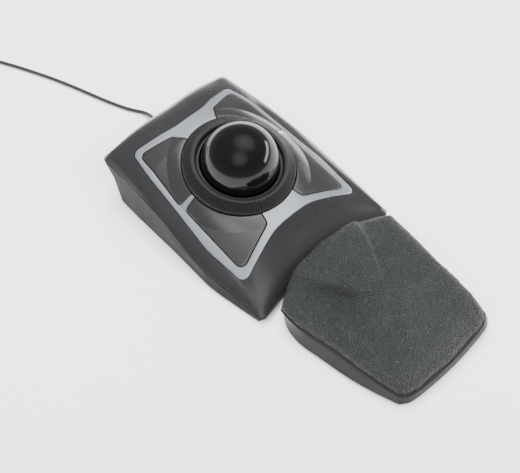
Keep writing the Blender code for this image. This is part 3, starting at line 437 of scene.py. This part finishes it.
def depth_inside(points, outline):
    """Distance of many plan points to a closed outline, positive inside it."""
    places = np.array([tuple(point)[:2] for point in points])
    corners = np.array([tuple(point)[:2] for point in outline])
    inside = np.zeros(len(places), dtype=bool)
    nearest = np.full(len(places), np.inf)
    for start, end in zip(corners, np.roll(corners, -1, axis=0)):
        along = end - start
        if not along.any():
            continue
        away = places - start
        share = np.clip(away @ along / (along @ along), 0.0, 1.0)
        nearest = np.minimum(nearest, np.linalg.norm(away - share[:, None] * along, axis=1))
        if start[1] != end[1]:
            spans = (start[1] > places[:, 1]) != (end[1] > places[:, 1])
            crossing = start[0] + (places[:, 1] - start[1]) / along[1] * along[0]
            inside ^= spans & (places[:, 0] < crossing)
    return np.where(inside, nearest, -nearest)


def circle(radius, squash=1.0):
    """Circle about the dish's centre, in plan, squashed along y."""
    angles = [math.tau * step / CIRCLE_STEPS for step in range(CIRCLE_STEPS)]
    return [Vector((radius * math.sin(angle), DECK_CENTRE_Y + radius * squash * math.cos(angle)))
            for angle in angles]


def flat_triangles(outer, holes):
    """Points and triangles that fill an outline round its holes, with an edge along the dish."""
    loops = [spaced(outer, GRID_STEP)] + [spaced(hole, GRID_STEP) for hole in holes]
    loops.append(circle(DISH_OUTER))
    points = []
    edges = []
    for loop in loops:
        first = len(points)
        points += loop
        edges += [(first + i, first + (i + 1) % len(loop)) for i in range(len(loop))]
    rows = round(GRID_REACH / GRID_STEP)
    grid = [Vector(((column + 0.5 * (row % 2)) * GRID_STEP, row * GRID_STEP * GRID_ROW))
            for row in range(-rows, rows + 1) for column in range(-rows, rows + 1)]
    clear = depth_inside(grid, loops[0]) > GRID_STEP * 0.5
    for hole in loops[1:-1]:
        clear &= depth_inside(grid, hole) < -GRID_STEP * 0.5
    clear &= np.abs(depth_inside(grid, loops[-1])) > GRID_STEP * 0.5
    points += [point for point, free in zip(grid, clear) if free]
    filled = delaunay_2d_cdt(points, edges, [], 0, 1e-4)
    points, faces = filled[0], filled[2]
    middles = [sum((points[index] for index in face), Vector((0.0, 0.0))) / 3 for face in faces]
    kept = depth_inside(middles, loops[0]) > 0.0
    for hole in loops[1:-1]:
        kept &= depth_inside(middles, hole) < 0.0
    return points, [face for face, wanted in zip(faces, kept) if wanted]


def rim_ways(bm):
    """Outward direction in plan at each point of a flat mesh's rim, longer at a corner."""
    outward = {}
    for edge in bm.edges:
        if len(edge.link_faces) == 1:
            across = (edge.verts[1].co - edge.verts[0].co).cross(Vector((0.0, 0.0, 1.0)))
            middle = (edge.verts[0].co + edge.verts[1].co) / 2
            if across.dot(middle - edge.link_faces[0].calc_center_median()) < 0.0:
                across = -across
            for vert in edge.verts:
                outward.setdefault(vert, []).append(across.normalized())
    return {vert: (ways[0] + ways[-1]) / max(0.6, 1.0 + ways[0].dot(ways[-1]))
            for vert, ways in outward.items()}


def deck_plate(name, outer, holes, thickness):
    """Closed plate that follows the deck, its outline cut EDGE_ROUND short for a round edge."""
    points, faces = flat_triangles(outer, holes)
    bm = bmesh.new()
    flat = [bm.verts.new((*point, 0.0)) for point in points]
    for face in faces:
        bm.faces.new([flat[index] for index in face])
    bmesh.ops.delete(bm, geom=[vert for vert in flat if not vert.link_faces], context="VERTS")
    bmesh.ops.recalc_face_normals(bm, faces=bm.faces)
    if bm.faces[:][0].normal.z < 0.0:
        bmesh.ops.reverse_faces(bm, faces=bm.faces)
    rim = rim_ways(bm)
    open_edges = [edge for edge in bm.edges if len(edge.link_faces) == 1]
    top_faces = bm.faces[:]
    profile = [(EDGE_ROUND * math.sin(angle), EDGE_ROUND * (1 - math.cos(angle)))
               for angle in map(math.radians, (30, 60, 90))]
    profile += [(EDGE_ROUND, thickness - EDGE_ROUND)]
    copies = {vert: bm.verts.new(vert.co - Vector((0.0, 0.0, thickness)))
              for vert in bm.verts[:]}
    for face in top_faces:
        bm.faces.new([copies[vert] for vert in reversed(face.verts)])
    rings = {vert: [vert] + [bm.verts.new(vert.co + way * out - Vector((0.0, 0.0, down)))
                             for out, down in profile] + [copies[vert]]
             for vert, way in rim.items()}
    for edge in open_edges:
        a, b = edge.verts
        for level in range(len(profile) + 1):
            bm.faces.new((rings[a][level], rings[b][level],
                          rings[b][level + 1], rings[a][level + 1]))
    bmesh.ops.recalc_face_normals(bm, faces=bm.faces)
    for vert in bm.verts:
        vert.co.z += deck_height(vert.co.x, vert.co.y)
    plate = new_object(name, bm, 50.0)
    centre = ORIGIN + Vector((0.0, DECK_CENTRE_Y * MM, 0.0))
    for edge in plate.data.edges:
        ends = [plate.data.vertices[index].co - centre for index in edge.vertices]
        if all(abs(math.hypot(end.x, end.y) / MM - DISH_OUTER) < 0.02 for end in ends):
            edge.use_edge_sharp = True
    return plate


def loft(name, rings, wrap=False, smooth_angle=40.0):
    """Join rings of equal length by quads, and close the ends or join the last to the first."""
    bm = bmesh.new()
    rows = [[bm.verts.new(point) for point in ring] for ring in rings]
    for row, following in zip(rows, rows[1:] + (rows[:1] if wrap else [])):
        for index in range(len(row)):
            after = (index + 1) % len(row)
            bm.faces.new((row[index], row[after], following[after], following[index]))
    if not wrap:
        bm.faces.new(rows[0])
        bm.faces.new(rows[-1])
    bmesh.ops.remove_doubles(bm, verts=bm.verts, dist=1e-3)
    bmesh.ops.recalc_face_normals(bm, faces=bm.faces)
    return new_object(name, bm, smooth_angle)


def both_sides(half):
    return half + [Vector((-point.x, point.y, point.z)) for point in reversed(half)]


def full_ring(sections):
    """Closed ring of points from the back, side and front sections of its right half."""
    half = []
    for section, count in zip(sections, OUTLINE_STEPS):
        half += through(section, count)[:-1]
    half.append(Vector(sections[-1][-1]))
    return half + [Vector((-point.x, point.y, point.z)) for point in half[-2:0:-1]]


def inset(ring, distance, lift=0.0):
    """Move a ring's points inwards in plan, and up."""
    moved = []
    for index, point in enumerate(ring):
        along = ring[(index + 1) % len(ring)] - ring[index - 1]
        into = Vector((along.y, -along.x, 0.0)).normalized()
        moved.append(point + into * distance + Vector((0.0, 0.0, lift)))
    return moved


def at_levels(levels, y):
    """Height at a y, from a falling list of y and height."""
    for (y0, z0), (y1, z1) in zip(levels, levels[1:]):
        if y >= y1:
            return z0 + (z1 - z0) * (y - y0) / (y1 - y0)
    return levels[-1][1]


# --- materials -----------------------------------------------------------------------------

CLOUD_SCALE = 18.0


def shader(name):
    """New material with its node tree, its main shader and an object coordinate output."""
    material = bpy.data.materials.new(name)
    material.use_nodes = True
    tree = material.node_tree
    coordinates = tree.nodes.new("ShaderNodeTexCoord").outputs["Object"]
    return material, tree, tree.nodes["Principled BSDF"], coordinates


def noise(tree, vector, scale, detail=3.0):
    node = tree.nodes.new("ShaderNodeTexNoise")
    node.inputs["Scale"].default_value = scale
    node.inputs["Detail"].default_value = detail
    tree.links.new(vector, node.inputs["Vector"])
    return node.outputs["Fac"]


def cells(tree, vector, scale, feature="F1"):
    node = tree.nodes.new("ShaderNodeTexVoronoi")
    node.feature = feature
    node.inputs["Scale"].default_value = scale
    tree.links.new(vector, node.inputs["Vector"])
    return node.outputs["Distance"]


def ramp(tree, value, low, high, start=0.3, end=0.7):
    """Blend two colours, or two levels of grey, as a value goes from start to end."""
    node = tree.nodes.new("ShaderNodeValToRGB")
    for element, place_at, colour in zip(node.color_ramp.elements, (start, end), (low, high)):
        element.position = place_at
        if not hasattr(colour, "__len__"):
            colour = (colour, colour, colour)
        element.color = (*colour, 1.0)
    tree.links.new(value, node.inputs["Fac"])
    return node.outputs["Color"]


def bump(tree, principled, heights):
    """Chain bumps of (height output, strength, distance in metres) into the shader's normal."""
    normal = None
    for height, strength, distance in heights:
        node = tree.nodes.new("ShaderNodeBump")
        node.inputs["Strength"].default_value = strength
        node.inputs["Distance"].default_value = distance
        tree.links.new(height, node.inputs["Height"])
        if normal is not None:
            tree.links.new(normal, node.inputs["Normal"])
        normal = node.outputs["Normal"]
    tree.links.new(normal, principled.inputs["Normal"])


def moulded(name, colours, roughness, grain=900.0, strength=0.25, metallic=0.0, coat=0.0,
            coat_roughness=0.1, specular=0.5):
    """Moulded or painted finish: clouded colour, uneven gloss and a fine moulded grain."""
    material, tree, principled, coordinates = shader(name)
    clouds = noise(tree, coordinates, CLOUD_SCALE, 4.0)
    fine = noise(tree, coordinates, grain, 2.0)
    tree.links.new(ramp(tree, clouds, *colours), principled.inputs["Base Color"])
    tree.links.new(ramp(tree, noise(tree, coordinates, CLOUD_SCALE * 4.0), *roughness),
                   principled.inputs["Roughness"])
    principled.inputs["Metallic"].default_value = metallic
    principled.inputs["Specular IOR Level"].default_value = specular
    principled.inputs["Coat Weight"].default_value = coat
    principled.inputs["Coat Roughness"].default_value = coat_roughness
    bump(tree, principled, [(fine, strength, 0.00004),
                            (cells(tree, coordinates, grain * 0.6), strength * 0.5, 0.00003)])
    return material


def grey(level, tint=(1.0, 1.0, 1.0)):
    return tuple(level * part for part in tint)


def leather():
    """Fine leatherette: pebbled cells with creases between them, painted shade darkening the
    creases, and a soft sheen.
    """
    material, tree, principled, coordinates = shader("rest_leather")
    pebbles = cells(tree, coordinates, 700.0, "SMOOTH_F1")
    creases = cells(tree, coordinates, 700.0, "DISTANCE_TO_EDGE")
    clouds = noise(tree, coordinates, 30.0, 4.0)
    mix = tree.nodes.new("ShaderNodeMix")
    mix.data_type = "RGBA"
    mix.blend_type = "MULTIPLY"
    mix.inputs["Factor"].default_value = 0.55
    tree.links.new(ramp(tree, clouds, grey(0.022, (0.92, 1, 1)), grey(0.029, (0.92, 1, 1))),
                   mix.inputs["A"])
    # Painted shade: the base colour is multiplied darker in the creases between the pebbles
    tree.links.new(ramp(tree, creases, 0.35, 1.0, 0.0, 0.09), mix.inputs["B"])
    tree.links.new(mix.outputs["Result"], principled.inputs["Base Color"])
    tree.links.new(ramp(tree, pebbles, 0.3, 0.5), principled.inputs["Roughness"])
    bump(tree, principled, [(ramp(tree, creases, 0.0, 1.0, 0.0, 0.3), 1.0, 0.0005),
                            (pebbles, 0.8, -0.0006), (noise(tree, coordinates, 90.0), 0.4, 0.0006)])
    return material


def ball_finish():
    """Polished black resin with a faint fleck below a clear surface."""
    material, tree, principled, coordinates = shader("ball_gloss")
    flecks = cells(tree, coordinates, 1400.0)
    tree.links.new(ramp(tree, flecks, grey(0.011), grey(0.0045), 0.05, 0.25),
                   principled.inputs["Base Color"])
    tree.links.new(ramp(tree, noise(tree, coordinates, 70.0), 0.09, 0.13),
                   principled.inputs["Roughness"])
    principled.inputs["Specular IOR Level"].default_value = 0.33
    bump(tree, principled, [(noise(tree, coordinates, 26.0), 0.05, 0.0003)])
    return material


def board_finish():
    """Green solder mask with traces and a fine weave."""
    material, tree, principled, coordinates = shader("board_green")
    brick = tree.nodes.new("ShaderNodeTexBrick")
    brick.inputs["Scale"].default_value = 160.0
    brick.inputs["Color1"].default_value = (0.008, 0.09, 0.03, 1.0)
    brick.inputs["Color2"].default_value = (0.01, 0.11, 0.04, 1.0)
    brick.inputs["Mortar"].default_value = (0.02, 0.2, 0.07, 1.0)
    brick.inputs["Mortar Size"].default_value = 0.03
    tree.links.new(coordinates, brick.inputs["Vector"])
    tree.links.new(brick.outputs["Color"], principled.inputs["Base Color"])
    tree.links.new(ramp(tree, noise(tree, coordinates, 200.0), 0.3, 0.5),
                   principled.inputs["Roughness"])
    bump(tree, principled, [(brick.outputs["Fac"], 0.3, 0.00005)])
    return material


def lens_finish():
    material, tree, principled, coordinates = shader("lens_clear")
    tree.links.new(ramp(tree, noise(tree, coordinates, 60.0), (0.9, 0.93, 0.96), (0.97, 0.98, 1)),
                   principled.inputs["Base Color"])
    tree.links.new(ramp(tree, noise(tree, coordinates, 400.0), 0.02, 0.06),
                   principled.inputs["Roughness"])
    principled.inputs["Transmission Weight"].default_value = 0.95
    principled.inputs["IOR"].default_value = 1.49
    return material


MATERIALS = {
    "cover_gloss": moulded("cover_gloss", (grey(0.023, (0.98, 0.98, 1.05)),
                                           grey(0.026, (0.98, 0.98, 1.05))),
                           (0.27, 0.29), 800.0, 0.05, metallic=0.3, coat=0.5,
                           coat_roughness=0.14),
    "base_matte": moulded("base_matte", (grey(0.014), grey(0.018)), (0.5, 0.6), 700.0, 0.3,
                           specular=0.2),
    "bezel_silver": moulded("bezel_silver", (grey(0.50, (0.9, 0.97, 1.03)),
                                             grey(0.54, (0.9, 0.97, 1.03))),
                            (0.3, 0.33), 800.0, 0.06, metallic=0.8, coat=0.2),
    "button_satin": moulded("button_satin", (grey(0.13, (1.01, 0.99, 1.01)),
                                             grey(0.14, (1.01, 0.99, 1.01))),
                            (0.27, 0.3), 800.0, 0.05, metallic=0.9, coat=0.2),
    "ring_rubber": moulded("ring_rubber", (grey(0.011), grey(0.015)), (0.34, 0.42), 900.0, 0.1),
    "ball_gloss": ball_finish(),
    "inner_plastic": moulded("inner_plastic", (grey(0.018), grey(0.026)), (0.45, 0.6), 700.0),
    "pin_steel": moulded("pin_steel", (grey(0.5), grey(0.62)), (0.2, 0.36), 1600.0, 0.2, 1.0),
    "bearing_ceramic": moulded("bearing_ceramic", (grey(0.7, (1, 1, 0.95)),
                                                   grey(0.78, (1, 1, 0.95))), (0.08, 0.16)),
    "board_green": board_finish(),
    "switch_black": moulded("switch_black", (grey(0.018), grey(0.028)), (0.35, 0.48), 1000.0),
    "plunger_red": moulded("plunger_red", ((0.45, 0.025, 0.018), (0.55, 0.04, 0.03)),
                           (0.3, 0.42), 1000.0),
    "lens_clear": lens_finish(),
    "foot_rubber": moulded("foot_rubber", (grey(0.022), grey(0.034)), (0.72, 0.88), 500.0, 0.7),
    "cable_rubber": moulded("cable_rubber", (grey(0.016), grey(0.024)), (0.4, 0.52), 900.0, 0.35),
    "plug_plastic": moulded("plug_plastic", (grey(0.02), grey(0.03)), (0.4, 0.55), 600.0, 0.5),
    "plug_metal": moulded("plug_metal", (grey(0.55), grey(0.68)), (0.16, 0.3), 1400.0, 0.2, 1.0),
    "rest_leather": leather(),
    "rest_side": moulded("rest_side", (grey(0.014, (0.95, 1, 1)), grey(0.019, (0.95, 1, 1))),
                         (0.42, 0.52), 800.0, 0.3, specular=0.25),
}


def show(item, body, slot, *nodes):
    """Give a piece the material of its slot, hang it on its body, and hide the CAD nodes it stands
    for.
    """
    item.data.materials.clear()
    item.data.materials.append(MATERIALS[slot])
    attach(item, body)
    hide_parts(*nodes)
    return item


# --- camera and cord -----------------------------------------------------------------------

def make_camera():
    """Camera that looks along its azimuth, tipped down by its elevation."""
    level = Vector((math.cos(CAMERA_AZIMUTH), -math.sin(CAMERA_AZIMUTH), 0.0))
    forward = Vector((math.sin(CAMERA_AZIMUTH) * math.cos(CAMERA_ELEVATION),
                      math.cos(CAMERA_AZIMUTH) * math.cos(CAMERA_ELEVATION),
                      -math.sin(CAMERA_ELEVATION)))
    upward = level.cross(forward)
    right = level * math.cos(CAMERA_ROLL) + upward * math.sin(CAMERA_ROLL)
    top = upward * math.cos(CAMERA_ROLL) - level * math.sin(CAMERA_ROLL)
    data = bpy.data.cameras.new("camera")
    data.lens = CAMERA_LENS
    data.sensor_width = 36.0
    data.sensor_fit = "HORIZONTAL"
    data.clip_start = 0.01
    camera = bpy.data.objects.new("camera", data)
    bpy.context.scene.collection.objects.link(camera)
    turn = Matrix((right, top, -forward)).transposed().to_4x4()
    camera.matrix_world = Matrix.Translation(place(CAMERA_PLACE)) @ turn
    bpy.context.scene.camera = camera


def coil_points():
    """Centreline of the stored length, wound layer on layer, each turn beside the last."""
    points = []
    angle = COIL_START
    x0, y0 = COIL_CENTRE
    turns = [(z, radius, min(1.0, count - number))
             for z, radii, count in COIL_LAYERS for number, radius in enumerate(radii)]
    for number, (z, radius, share) in enumerate(turns):
        z_next, radius_next, _ = turns[min(number + 1, len(turns) - 1)]
        steps = round(COIL_POINTS * share)
        for step in range(steps):
            over = eased((step / COIL_POINTS - 1.0 + COIL_CROSSING) / COIL_CROSSING)
            r = radius + (radius_next - radius) * over
            turn = math.radians(angle)
            points.append((x0 + r * math.cos(turn), y0 + r * math.sin(turn),
                           z + (z_next - z) * over))
            angle += 360.0 / COIL_POINTS
    return points


def make_cord():
    """One smooth curve along the route, through the coil and on to the plug."""
    route = [*CABLE_ROUTE, *coil_points(), *COIL_EXIT, *TAIL_ROUTE[1:]]
    curve = bpy.data.curves.new("cord", "CURVE")
    curve.dimensions = "3D"
    curve.bevel_depth = CORD_RADIUS * MM
    curve.bevel_resolution = 5
    curve.resolution_u = 6
    curve.use_fill_caps = True
    spline = curve.splines.new("BEZIER")
    spline.bezier_points.add(len(route) - 1)
    for control, point in zip(spline.bezier_points, route):
        control.co = place(point)
        control.handle_left_type = "AUTO"
        control.handle_right_type = "AUTO"
    cord = bpy.data.objects.new("cord", curve)
    bpy.context.scene.collection.objects.link(cord)
    return show(cord, "housing", "cable_rubber", "cable", "cable_tail", "cable_coil")


def make_relief():
    """Tapered sleeve with grip rings where the cord leaves the housing."""
    profile = list(RELIEF_TIP)
    tip_radius, tip_y = RELIEF_TIP[1]
    for ring in range(RELIEF_RINGS):
        y = RELIEF_RING_START - ring * RELIEF_RING_PITCH
        radius = tip_radius + (tip_y - y) * RELIEF_TAPER
        profile += [(radius, y + 0.7), (radius - 0.35, y + 0.45), (radius - 0.35, y - 0.25),
                    (radius + 0.1, y - 0.5)]
    profile += RELIEF_FLANGE
    rows = []
    for step in range(ROUND_STEPS):
        angle = math.tau * step / ROUND_STEPS
        rows.append([Vector((r * math.cos(angle), y, RELIEF_Z - r * math.sin(angle)))
                     for r, y in profile])
    relief = loft("cord_relief", rows, wrap=True, smooth_angle=30.0)
    return show(relief, "housing", "cable_rubber", "strain_relief")


def make_plug():
    """Moulded plug grip: a rounded block with a waist and grip ridges."""
    x0, y0, z0 = PLUG_BACK
    rings = []
    for along, wide, high in PLUG_SECTIONS:
        ring = []
        for step in range(ROUND_STEPS):
            angle = math.tau * step / ROUND_STEPS
            c, s = math.cos(angle), math.sin(angle)
            ring.append(Vector((x0 + wide * math.copysign(abs(c) ** PLUG_CORNER, c), y0 - along,
                                z0 + high * math.copysign(abs(s) ** PLUG_CORNER, s))))
        rings.append(ring)
    plug = loft("plug_grip", rings, smooth_angle=35.0)
    return show(plug, "housing", "plug_plastic", "usb_plug_body")


make_camera()
relief = make_relief()
plug = make_plug()
cord = make_cord()


# --- housing -------------------------------------------------------------------------------

def recess_edge():
    """Right half of the bezel's recess from back to front, closely sampled."""
    outline = rounded(offset_corners(bezel_corners(), SIDE_GAP), 5.0)
    points = spaced(outline, GRID_STEP)
    first = next(index for index, point in enumerate(points)
                 if point.x > 0.0 and points[index - 1].x <= 0.0)
    return [Vector((p.x, p.y, deck_height(p.x, p.y)))
            for p in points[first:] + points[:first] if p.x > 0.0]


def edge_places(edge):
    """Section and sample of the sharp deck edge that is nearest to each recess point."""
    sharp = []
    for number, section in enumerate(DECK_EDGE):
        samples = through([(x, y, 0.0) for x, y in section], COVER_SAMPLES)
        sharp += [(number, index, sample) for index, sample in enumerate(samples)]
    places = []
    for point in edge:
        flat = Vector((point.x, point.y, 0.0))
        number, index, _ = min(sharp, key=lambda entry: (entry[2] - flat).length)
        places.append((number, index))
    return places


def make_cover():
    """Outer shell: a shelf under the bezel, a broad shoulder and a rounded edge to the crease."""
    edge = recess_edge()
    sampled = [[through(section, COVER_SAMPLES) for section in level]
               for level in (SHOULDER, ROUNDING, CREASE)]
    columns = []
    for point, (number, index) in zip(edge, edge_places(edge)):
        levels = [level[number][index] for level in sampled]
        levels[-1] = levels[-1] + Vector((0.0, 0.0, CREASE_LIFT))
        inner = Vector((point.x * SHELF_SHARE, point.y * SHELF_SHARE, 0.0))
        inner.z = deck_height(inner.x, inner.y) - SHELF_DEPTH
        column = [inner, point - Vector((0.0, 0.0, SHELF_DEPTH)),
                  point - Vector((0.0, 0.0, RECESS_BREAK)),
                  point + (levels[0] - point).normalized() * RECESS_BREAK]
        column += through([point, *levels], COVER_ROWS)[1:]
        columns.append(column)
    rings = [both_sides([column[row] for column in columns]) for row in range(len(columns[0]))]
    for row in range(*COVER_SOFT_ROWS):
        for _ in range(COVER_SOFT_PASSES):
            ring = rings[row]
            rings[row] = [(ring[i - 1] + ring[i] * 2 + ring[(i + 1) % len(ring)]) / 4
                          for i in range(len(ring))]
    under = []
    for row, ring in enumerate(rings):
        side = clamped((row - COVER_TOP_ROWS) / (len(rings) - 1 - COVER_TOP_ROWS))
        under.append(inset(ring, COVER_WALL * side, -COVER_WALL * (1.0 - side)))
    cover = loft("cover_shell", rings + under[::-1], wrap=True, smooth_angle=38.0)
    return show(cover, "housing", "cover_gloss", "top_cover")


def make_bezel():
    """Plate in the deck's recess, with a window for each button and one for the ring."""
    holes = [rounded(offset_corners(button_corners(name), BUTTON_GAP + EDGE_ROUND))
             for name in BUTTON_PLACES]
    opening = circle(RING_OPENING + EDGE_ROUND, math.cos(DECK_TILT))
    outline = rounded(offset_corners(bezel_corners(), -EDGE_ROUND), 5.0)
    plate = deck_plate("bezel_face", outline, [*holes, opening], BEZEL_THICKNESS)
    return show(plate, "housing", "bezel_silver", "bezel_plate")


def make_button(name):
    """Button plate, flush with the bezel and cut back round the ring."""
    opening = circle(RING_OPENING + EDGE_ROUND, math.cos(DECK_TILT))
    outline = rounded(offset_corners(button_corners(name), -EDGE_ROUND), 5.0)
    key = deck_plate("key_" + name, outline, [opening], BUTTON_THICKNESS)
    return show(key, "button_" + name, "button_satin", "button_" + name)


# --- ring and ball -------------------------------------------------------------------------

def make_ring():
    """Scroll ring with fine ribs across its sloping band."""
    (r0, h0), (r1, h1) = RING_BAND
    normal = Vector((h1 - h0, r0 - r1)).normalized()
    levels = []
    for row in range(RING_ROWS + 1):
        share = row / RING_ROWS
        depth = RIB_DEPTH * min(1.0, share / RIB_RUNOUT, (1.0 - share) / RIB_RUNOUT)
        levels.append((r0 + (r1 - r0) * share, h0 + (h1 - h0) * share, max(depth, 0.0)))
    levels += [(r, h, 0.0) for r, h in RING_TOP[1:] + RING_UNDER]
    steps = RING_RIBS * len(RIB_SHAPE)
    rows = []
    for step in range(steps):
        angle = math.tau * step / steps
        sunk = RIB_SHAPE[step % len(RIB_SHAPE)]
        row = []
        for r, h, depth in levels:
            r -= normal.x * depth * sunk
            h -= normal.y * depth * sunk
            row.append(FROM_DECK @ Vector((r * math.cos(angle), r * math.sin(angle), h)))
        rows.append(row)
    ring = loft("ribbed_ring", rows, wrap=True, smooth_angle=50.0)
    return show(ring, "scroll_ring", "ring_rubber", "scroll_ring")


def make_ball():
    """Ball as a cube whose subdivided faces are pushed out to one radius."""
    bm = bmesh.new()
    bmesh.ops.create_cube(bm, size=1.0)
    bmesh.ops.subdivide_edges(bm, edges=bm.edges, cuts=BALL_CUTS, use_grid_fill=True)
    centre = (BALL_CENTRE - ORIGIN) / MM
    for vert in bm.verts:
        x, y, z = (math.tan(part * math.pi / 2) for part in vert.co)
        vert.co = Vector((x, y, z)).normalized() * BALL_RADIUS + centre
    ball = new_object("ball_polished", bm, 80.0)
    return show(ball, "ball", "ball_gloss", "ball")


# --- wrist rest ----------------------------------------------------------------------------

def make_tray():
    """Open tray of the wrist rest, with the two tabs that plug into the device."""
    bottom, rim = full_ring(TRAY_BOTTOM), full_ring(TRAY_RIM)
    rings = [inset(bottom, *step) for step in TRAY_FOOT]
    rings += [[low.lerp(high, share) for low, high in zip(bottom, rim)] for share in TRAY_SIDE]
    rings += [inset(rim, *step) for step in TRAY_LIP]
    rings.append(inset(bottom, TRAY_WALL, TRAY_WALL))
    tray = loft("rest_shell", rings, smooth_angle=45.0)
    for side in (-1, 1):
        x0, x1 = sorted((side * (TAB_X - TAB_SIZE[0] / 2), side * (TAB_X + TAB_SIZE[0] / 2)))
        y0, y1 = TAB_Y - TAB_SIZE[1] / 2, TAB_Y + TAB_SIZE[1] / 2
        outline = rounded([(x0, y0, 0.0), (x1, y0, 0.0), (x1, y1, TAB_ROUND), (x0, y1, TAB_ROUND)])
        tab = prism("tab", outline, TAB_Z - TAB_SIZE[2] / 2, TAB_Z + TAB_SIZE[2] / 2)
        join = tray.modifiers.new("tab", "BOOLEAN")
        join.operation = "UNION"
        join.object = tab
        join.solver = "EXACT"
        apply_modifiers(tray, 45.0)
        bpy.data.objects.remove(tab, do_unlink=True)
    return show(tray, "wrist_rest", "rest_side", "rest_tray")


def raise_tongue(ring, outline):
    """Lift the points of a ring of the cushion under its tongue, and less along its back."""
    raised = []
    for point, depth in zip(ring, depth_inside(ring, outline)):
        share = eased((depth + HUMP_SKIRT) / (HUMP_SKIRT + HUMP_EDGE))
        rise = at_levels(HUMP_HEIGHTS, point.y) - at_levels(PAD_HEIGHTS, point.y)
        lift = max(rise * share, LIP_RISE * eased((point.y - LIP_START) / LIP_WIDTH))
        raised.append(point + Vector((0.0, 0.0, lift)))
    return raised


def make_pad():
    """Cushion of the wrist rest: a crowned slab whose tongue rises towards the device."""
    flank = through([(x, y, 0.0) for x, y in HUMP_HALF], HUMP_SAMPLES)
    outline = [Vector(point) for point in HUMP_BACK] + [point.xy for point in flank]
    outline += [Vector((-point.x, point.y)) for point in outline[-2:0:-1]]
    bottom, rim, top = full_ring(TRAY_BOTTOM), full_ring(TRAY_RIM), full_ring(PAD_TOP)
    rings = [inset(bottom, PAD_WALL, PAD_WALL)] + [inset(rim, *step) for step in PAD_SEAM]
    rings += [raise_tongue(inset(top, *step), outline) for step in PAD_ROUNDING]
    inner = inset(top, PAD_FIELD)
    for row in range(PAD_ROWS):
        factor = 1.0 - (row + PAD_TIP) / (PAD_ROWS + PAD_TIP)
        blend = min(1.0, (1.0 - factor) / PAD_BLEND)
        ring = []
        for point in inner:
            y = PAD_CENTRE_Y + (point.y - PAD_CENTRE_Y) * factor
            rise = (at_levels(PAD_HEIGHTS, y) - point.z) * blend * (2.0 - blend)
            ring.append(Vector((point.x * factor, y, point.z + rise)))
        rings.append(raise_tongue(ring, outline))
    pad = loft("rest_cushion", rings, smooth_angle=60.0)
    return show(pad, "wrist_rest", "rest_leather", "rest_pad")


def stuff(pad):
    """Fill the cushion by a short cloth run under pressure, with each point's move capped."""
    remesh = pad.modifiers.new("remesh", "REMESH")
    remesh.mode = "VOXEL"
    remesh.voxel_size = PAD_VOXEL * MM
    apply_modifiers(pad, 60.0)
    before = [vert.co.copy() for vert in pad.data.vertices]
    cloth = pad.modifiers.new("cloth", "CLOTH")
    cloth.settings.use_pressure = True
    cloth.settings.uniform_pressure_force = PAD_PRESSURE
    cloth.settings.effector_weights.gravity = 0.0
    cloth.point_cache.frame_start = 1
    cloth.point_cache.frame_end = PAD_FRAMES
    for number in range(1, PAD_FRAMES + 1):
        bpy.context.scene.frame_set(number)
        bpy.context.view_layer.update()
    graph = bpy.context.evaluated_depsgraph_get()
    moved = pad.evaluated_get(graph)
    after = [vert.co.copy() for vert in moved.data.vertices]
    pad.modifiers.clear()
    bpy.context.scene.frame_set(1)
    for vert, old, new in zip(pad.data.vertices, before, after):
        step = new - old
        if step.length > PAD_CAP * MM:
            step *= PAD_CAP * MM / step.length
        vert.co = old + step
    smooth = pad.modifiers.new("smooth", "SUBSURF")
    smooth.levels = 1
    smooth.render_levels = 1
    return apply_modifiers(pad, 80.0)


# --- stage ---------------------------------------------------------------------------------

def make_floor():
    """Wide sheet of pale paper."""
    bm = bmesh.new()
    bmesh.ops.create_grid(bm, x_segments=8, y_segments=8, size=FLOOR_HALF)
    floor = new_object("floor", bm)
    material, tree, principled, coordinates = shader("floor_paper")
    tree.links.new(ramp(tree, noise(tree, coordinates, 3.0), grey(0.9), grey(0.93)),
                   principled.inputs["Base Color"])
    principled.inputs["Roughness"].default_value = 0.85
    principled.inputs["Specular IOR Level"].default_value = 0.1
    floor.data.materials.append(material)


def make_light(name, place_at, target, size, power, mirrored_in_gloss):
    """Rectangular lamp, in metres and watts, turned towards its target."""
    data = bpy.data.lights.new(name, "AREA")
    data.shape = "RECTANGLE"
    data.size, data.size_y = size
    data.energy = power
    light = bpy.data.objects.new(name, data)
    bpy.context.scene.collection.objects.link(light)
    way = Vector(target) - Vector(place_at)
    light.location = place_at
    light.rotation_euler = way.to_track_quat("-Z", "Y").to_euler()
    light.visible_glossy = mirrored_in_gloss


def make_studio():
    """Studio surroundings: pale near the horizon, darker higher up, with soft glows overhead."""
    world = bpy.data.worlds.new("studio")
    world.use_nodes = True
    tree = world.node_tree
    way = tree.nodes.new("ShaderNodeTexCoord").outputs["Generated"]
    parts = tree.nodes.new("ShaderNodeSeparateXYZ")
    tree.links.new(way, parts.inputs["Vector"])
    total = ramp(tree, parts.outputs["Z"], HORIZON_LEVEL, SKY_LEVEL, *HORIZON_HEIGHTS)
    for glow_way, level, cosines in GLOWS:
        towards = tree.nodes.new("ShaderNodeVectorMath")
        towards.operation = "DOT_PRODUCT"
        towards.inputs[1].default_value = Vector(glow_way).normalized()
        tree.links.new(way, towards.inputs[0])
        both = tree.nodes.new("ShaderNodeMix")
        both.data_type = "RGBA"
        both.blend_type = "ADD"
        both.inputs["Factor"].default_value = 1.0
        tree.links.new(total, both.inputs["A"])
        tree.links.new(ramp(tree, towards.outputs["Value"], 0.0, level, *cosines),
                       both.inputs["B"])
        total = both.outputs["Result"]
    tree.links.new(total, tree.nodes["Background"].inputs["Color"])
    bpy.context.scene.world = world
    for lamp in LIGHTS:
        make_light(*lamp)


make_cover()
make_bezel()
for button in BUTTON_PLACES:
    make_button(button)
make_ring()
make_ball()
make_tray()
cushion = make_pad()
stuff(cushion)
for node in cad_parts.values():
    for holder in node.material_slots:
        finish = holder.material.name.split(".")[0] if holder.material else ""
        if finish in MATERIALS:
            holder.material = MATERIALS[finish]
make_floor()
make_studio()
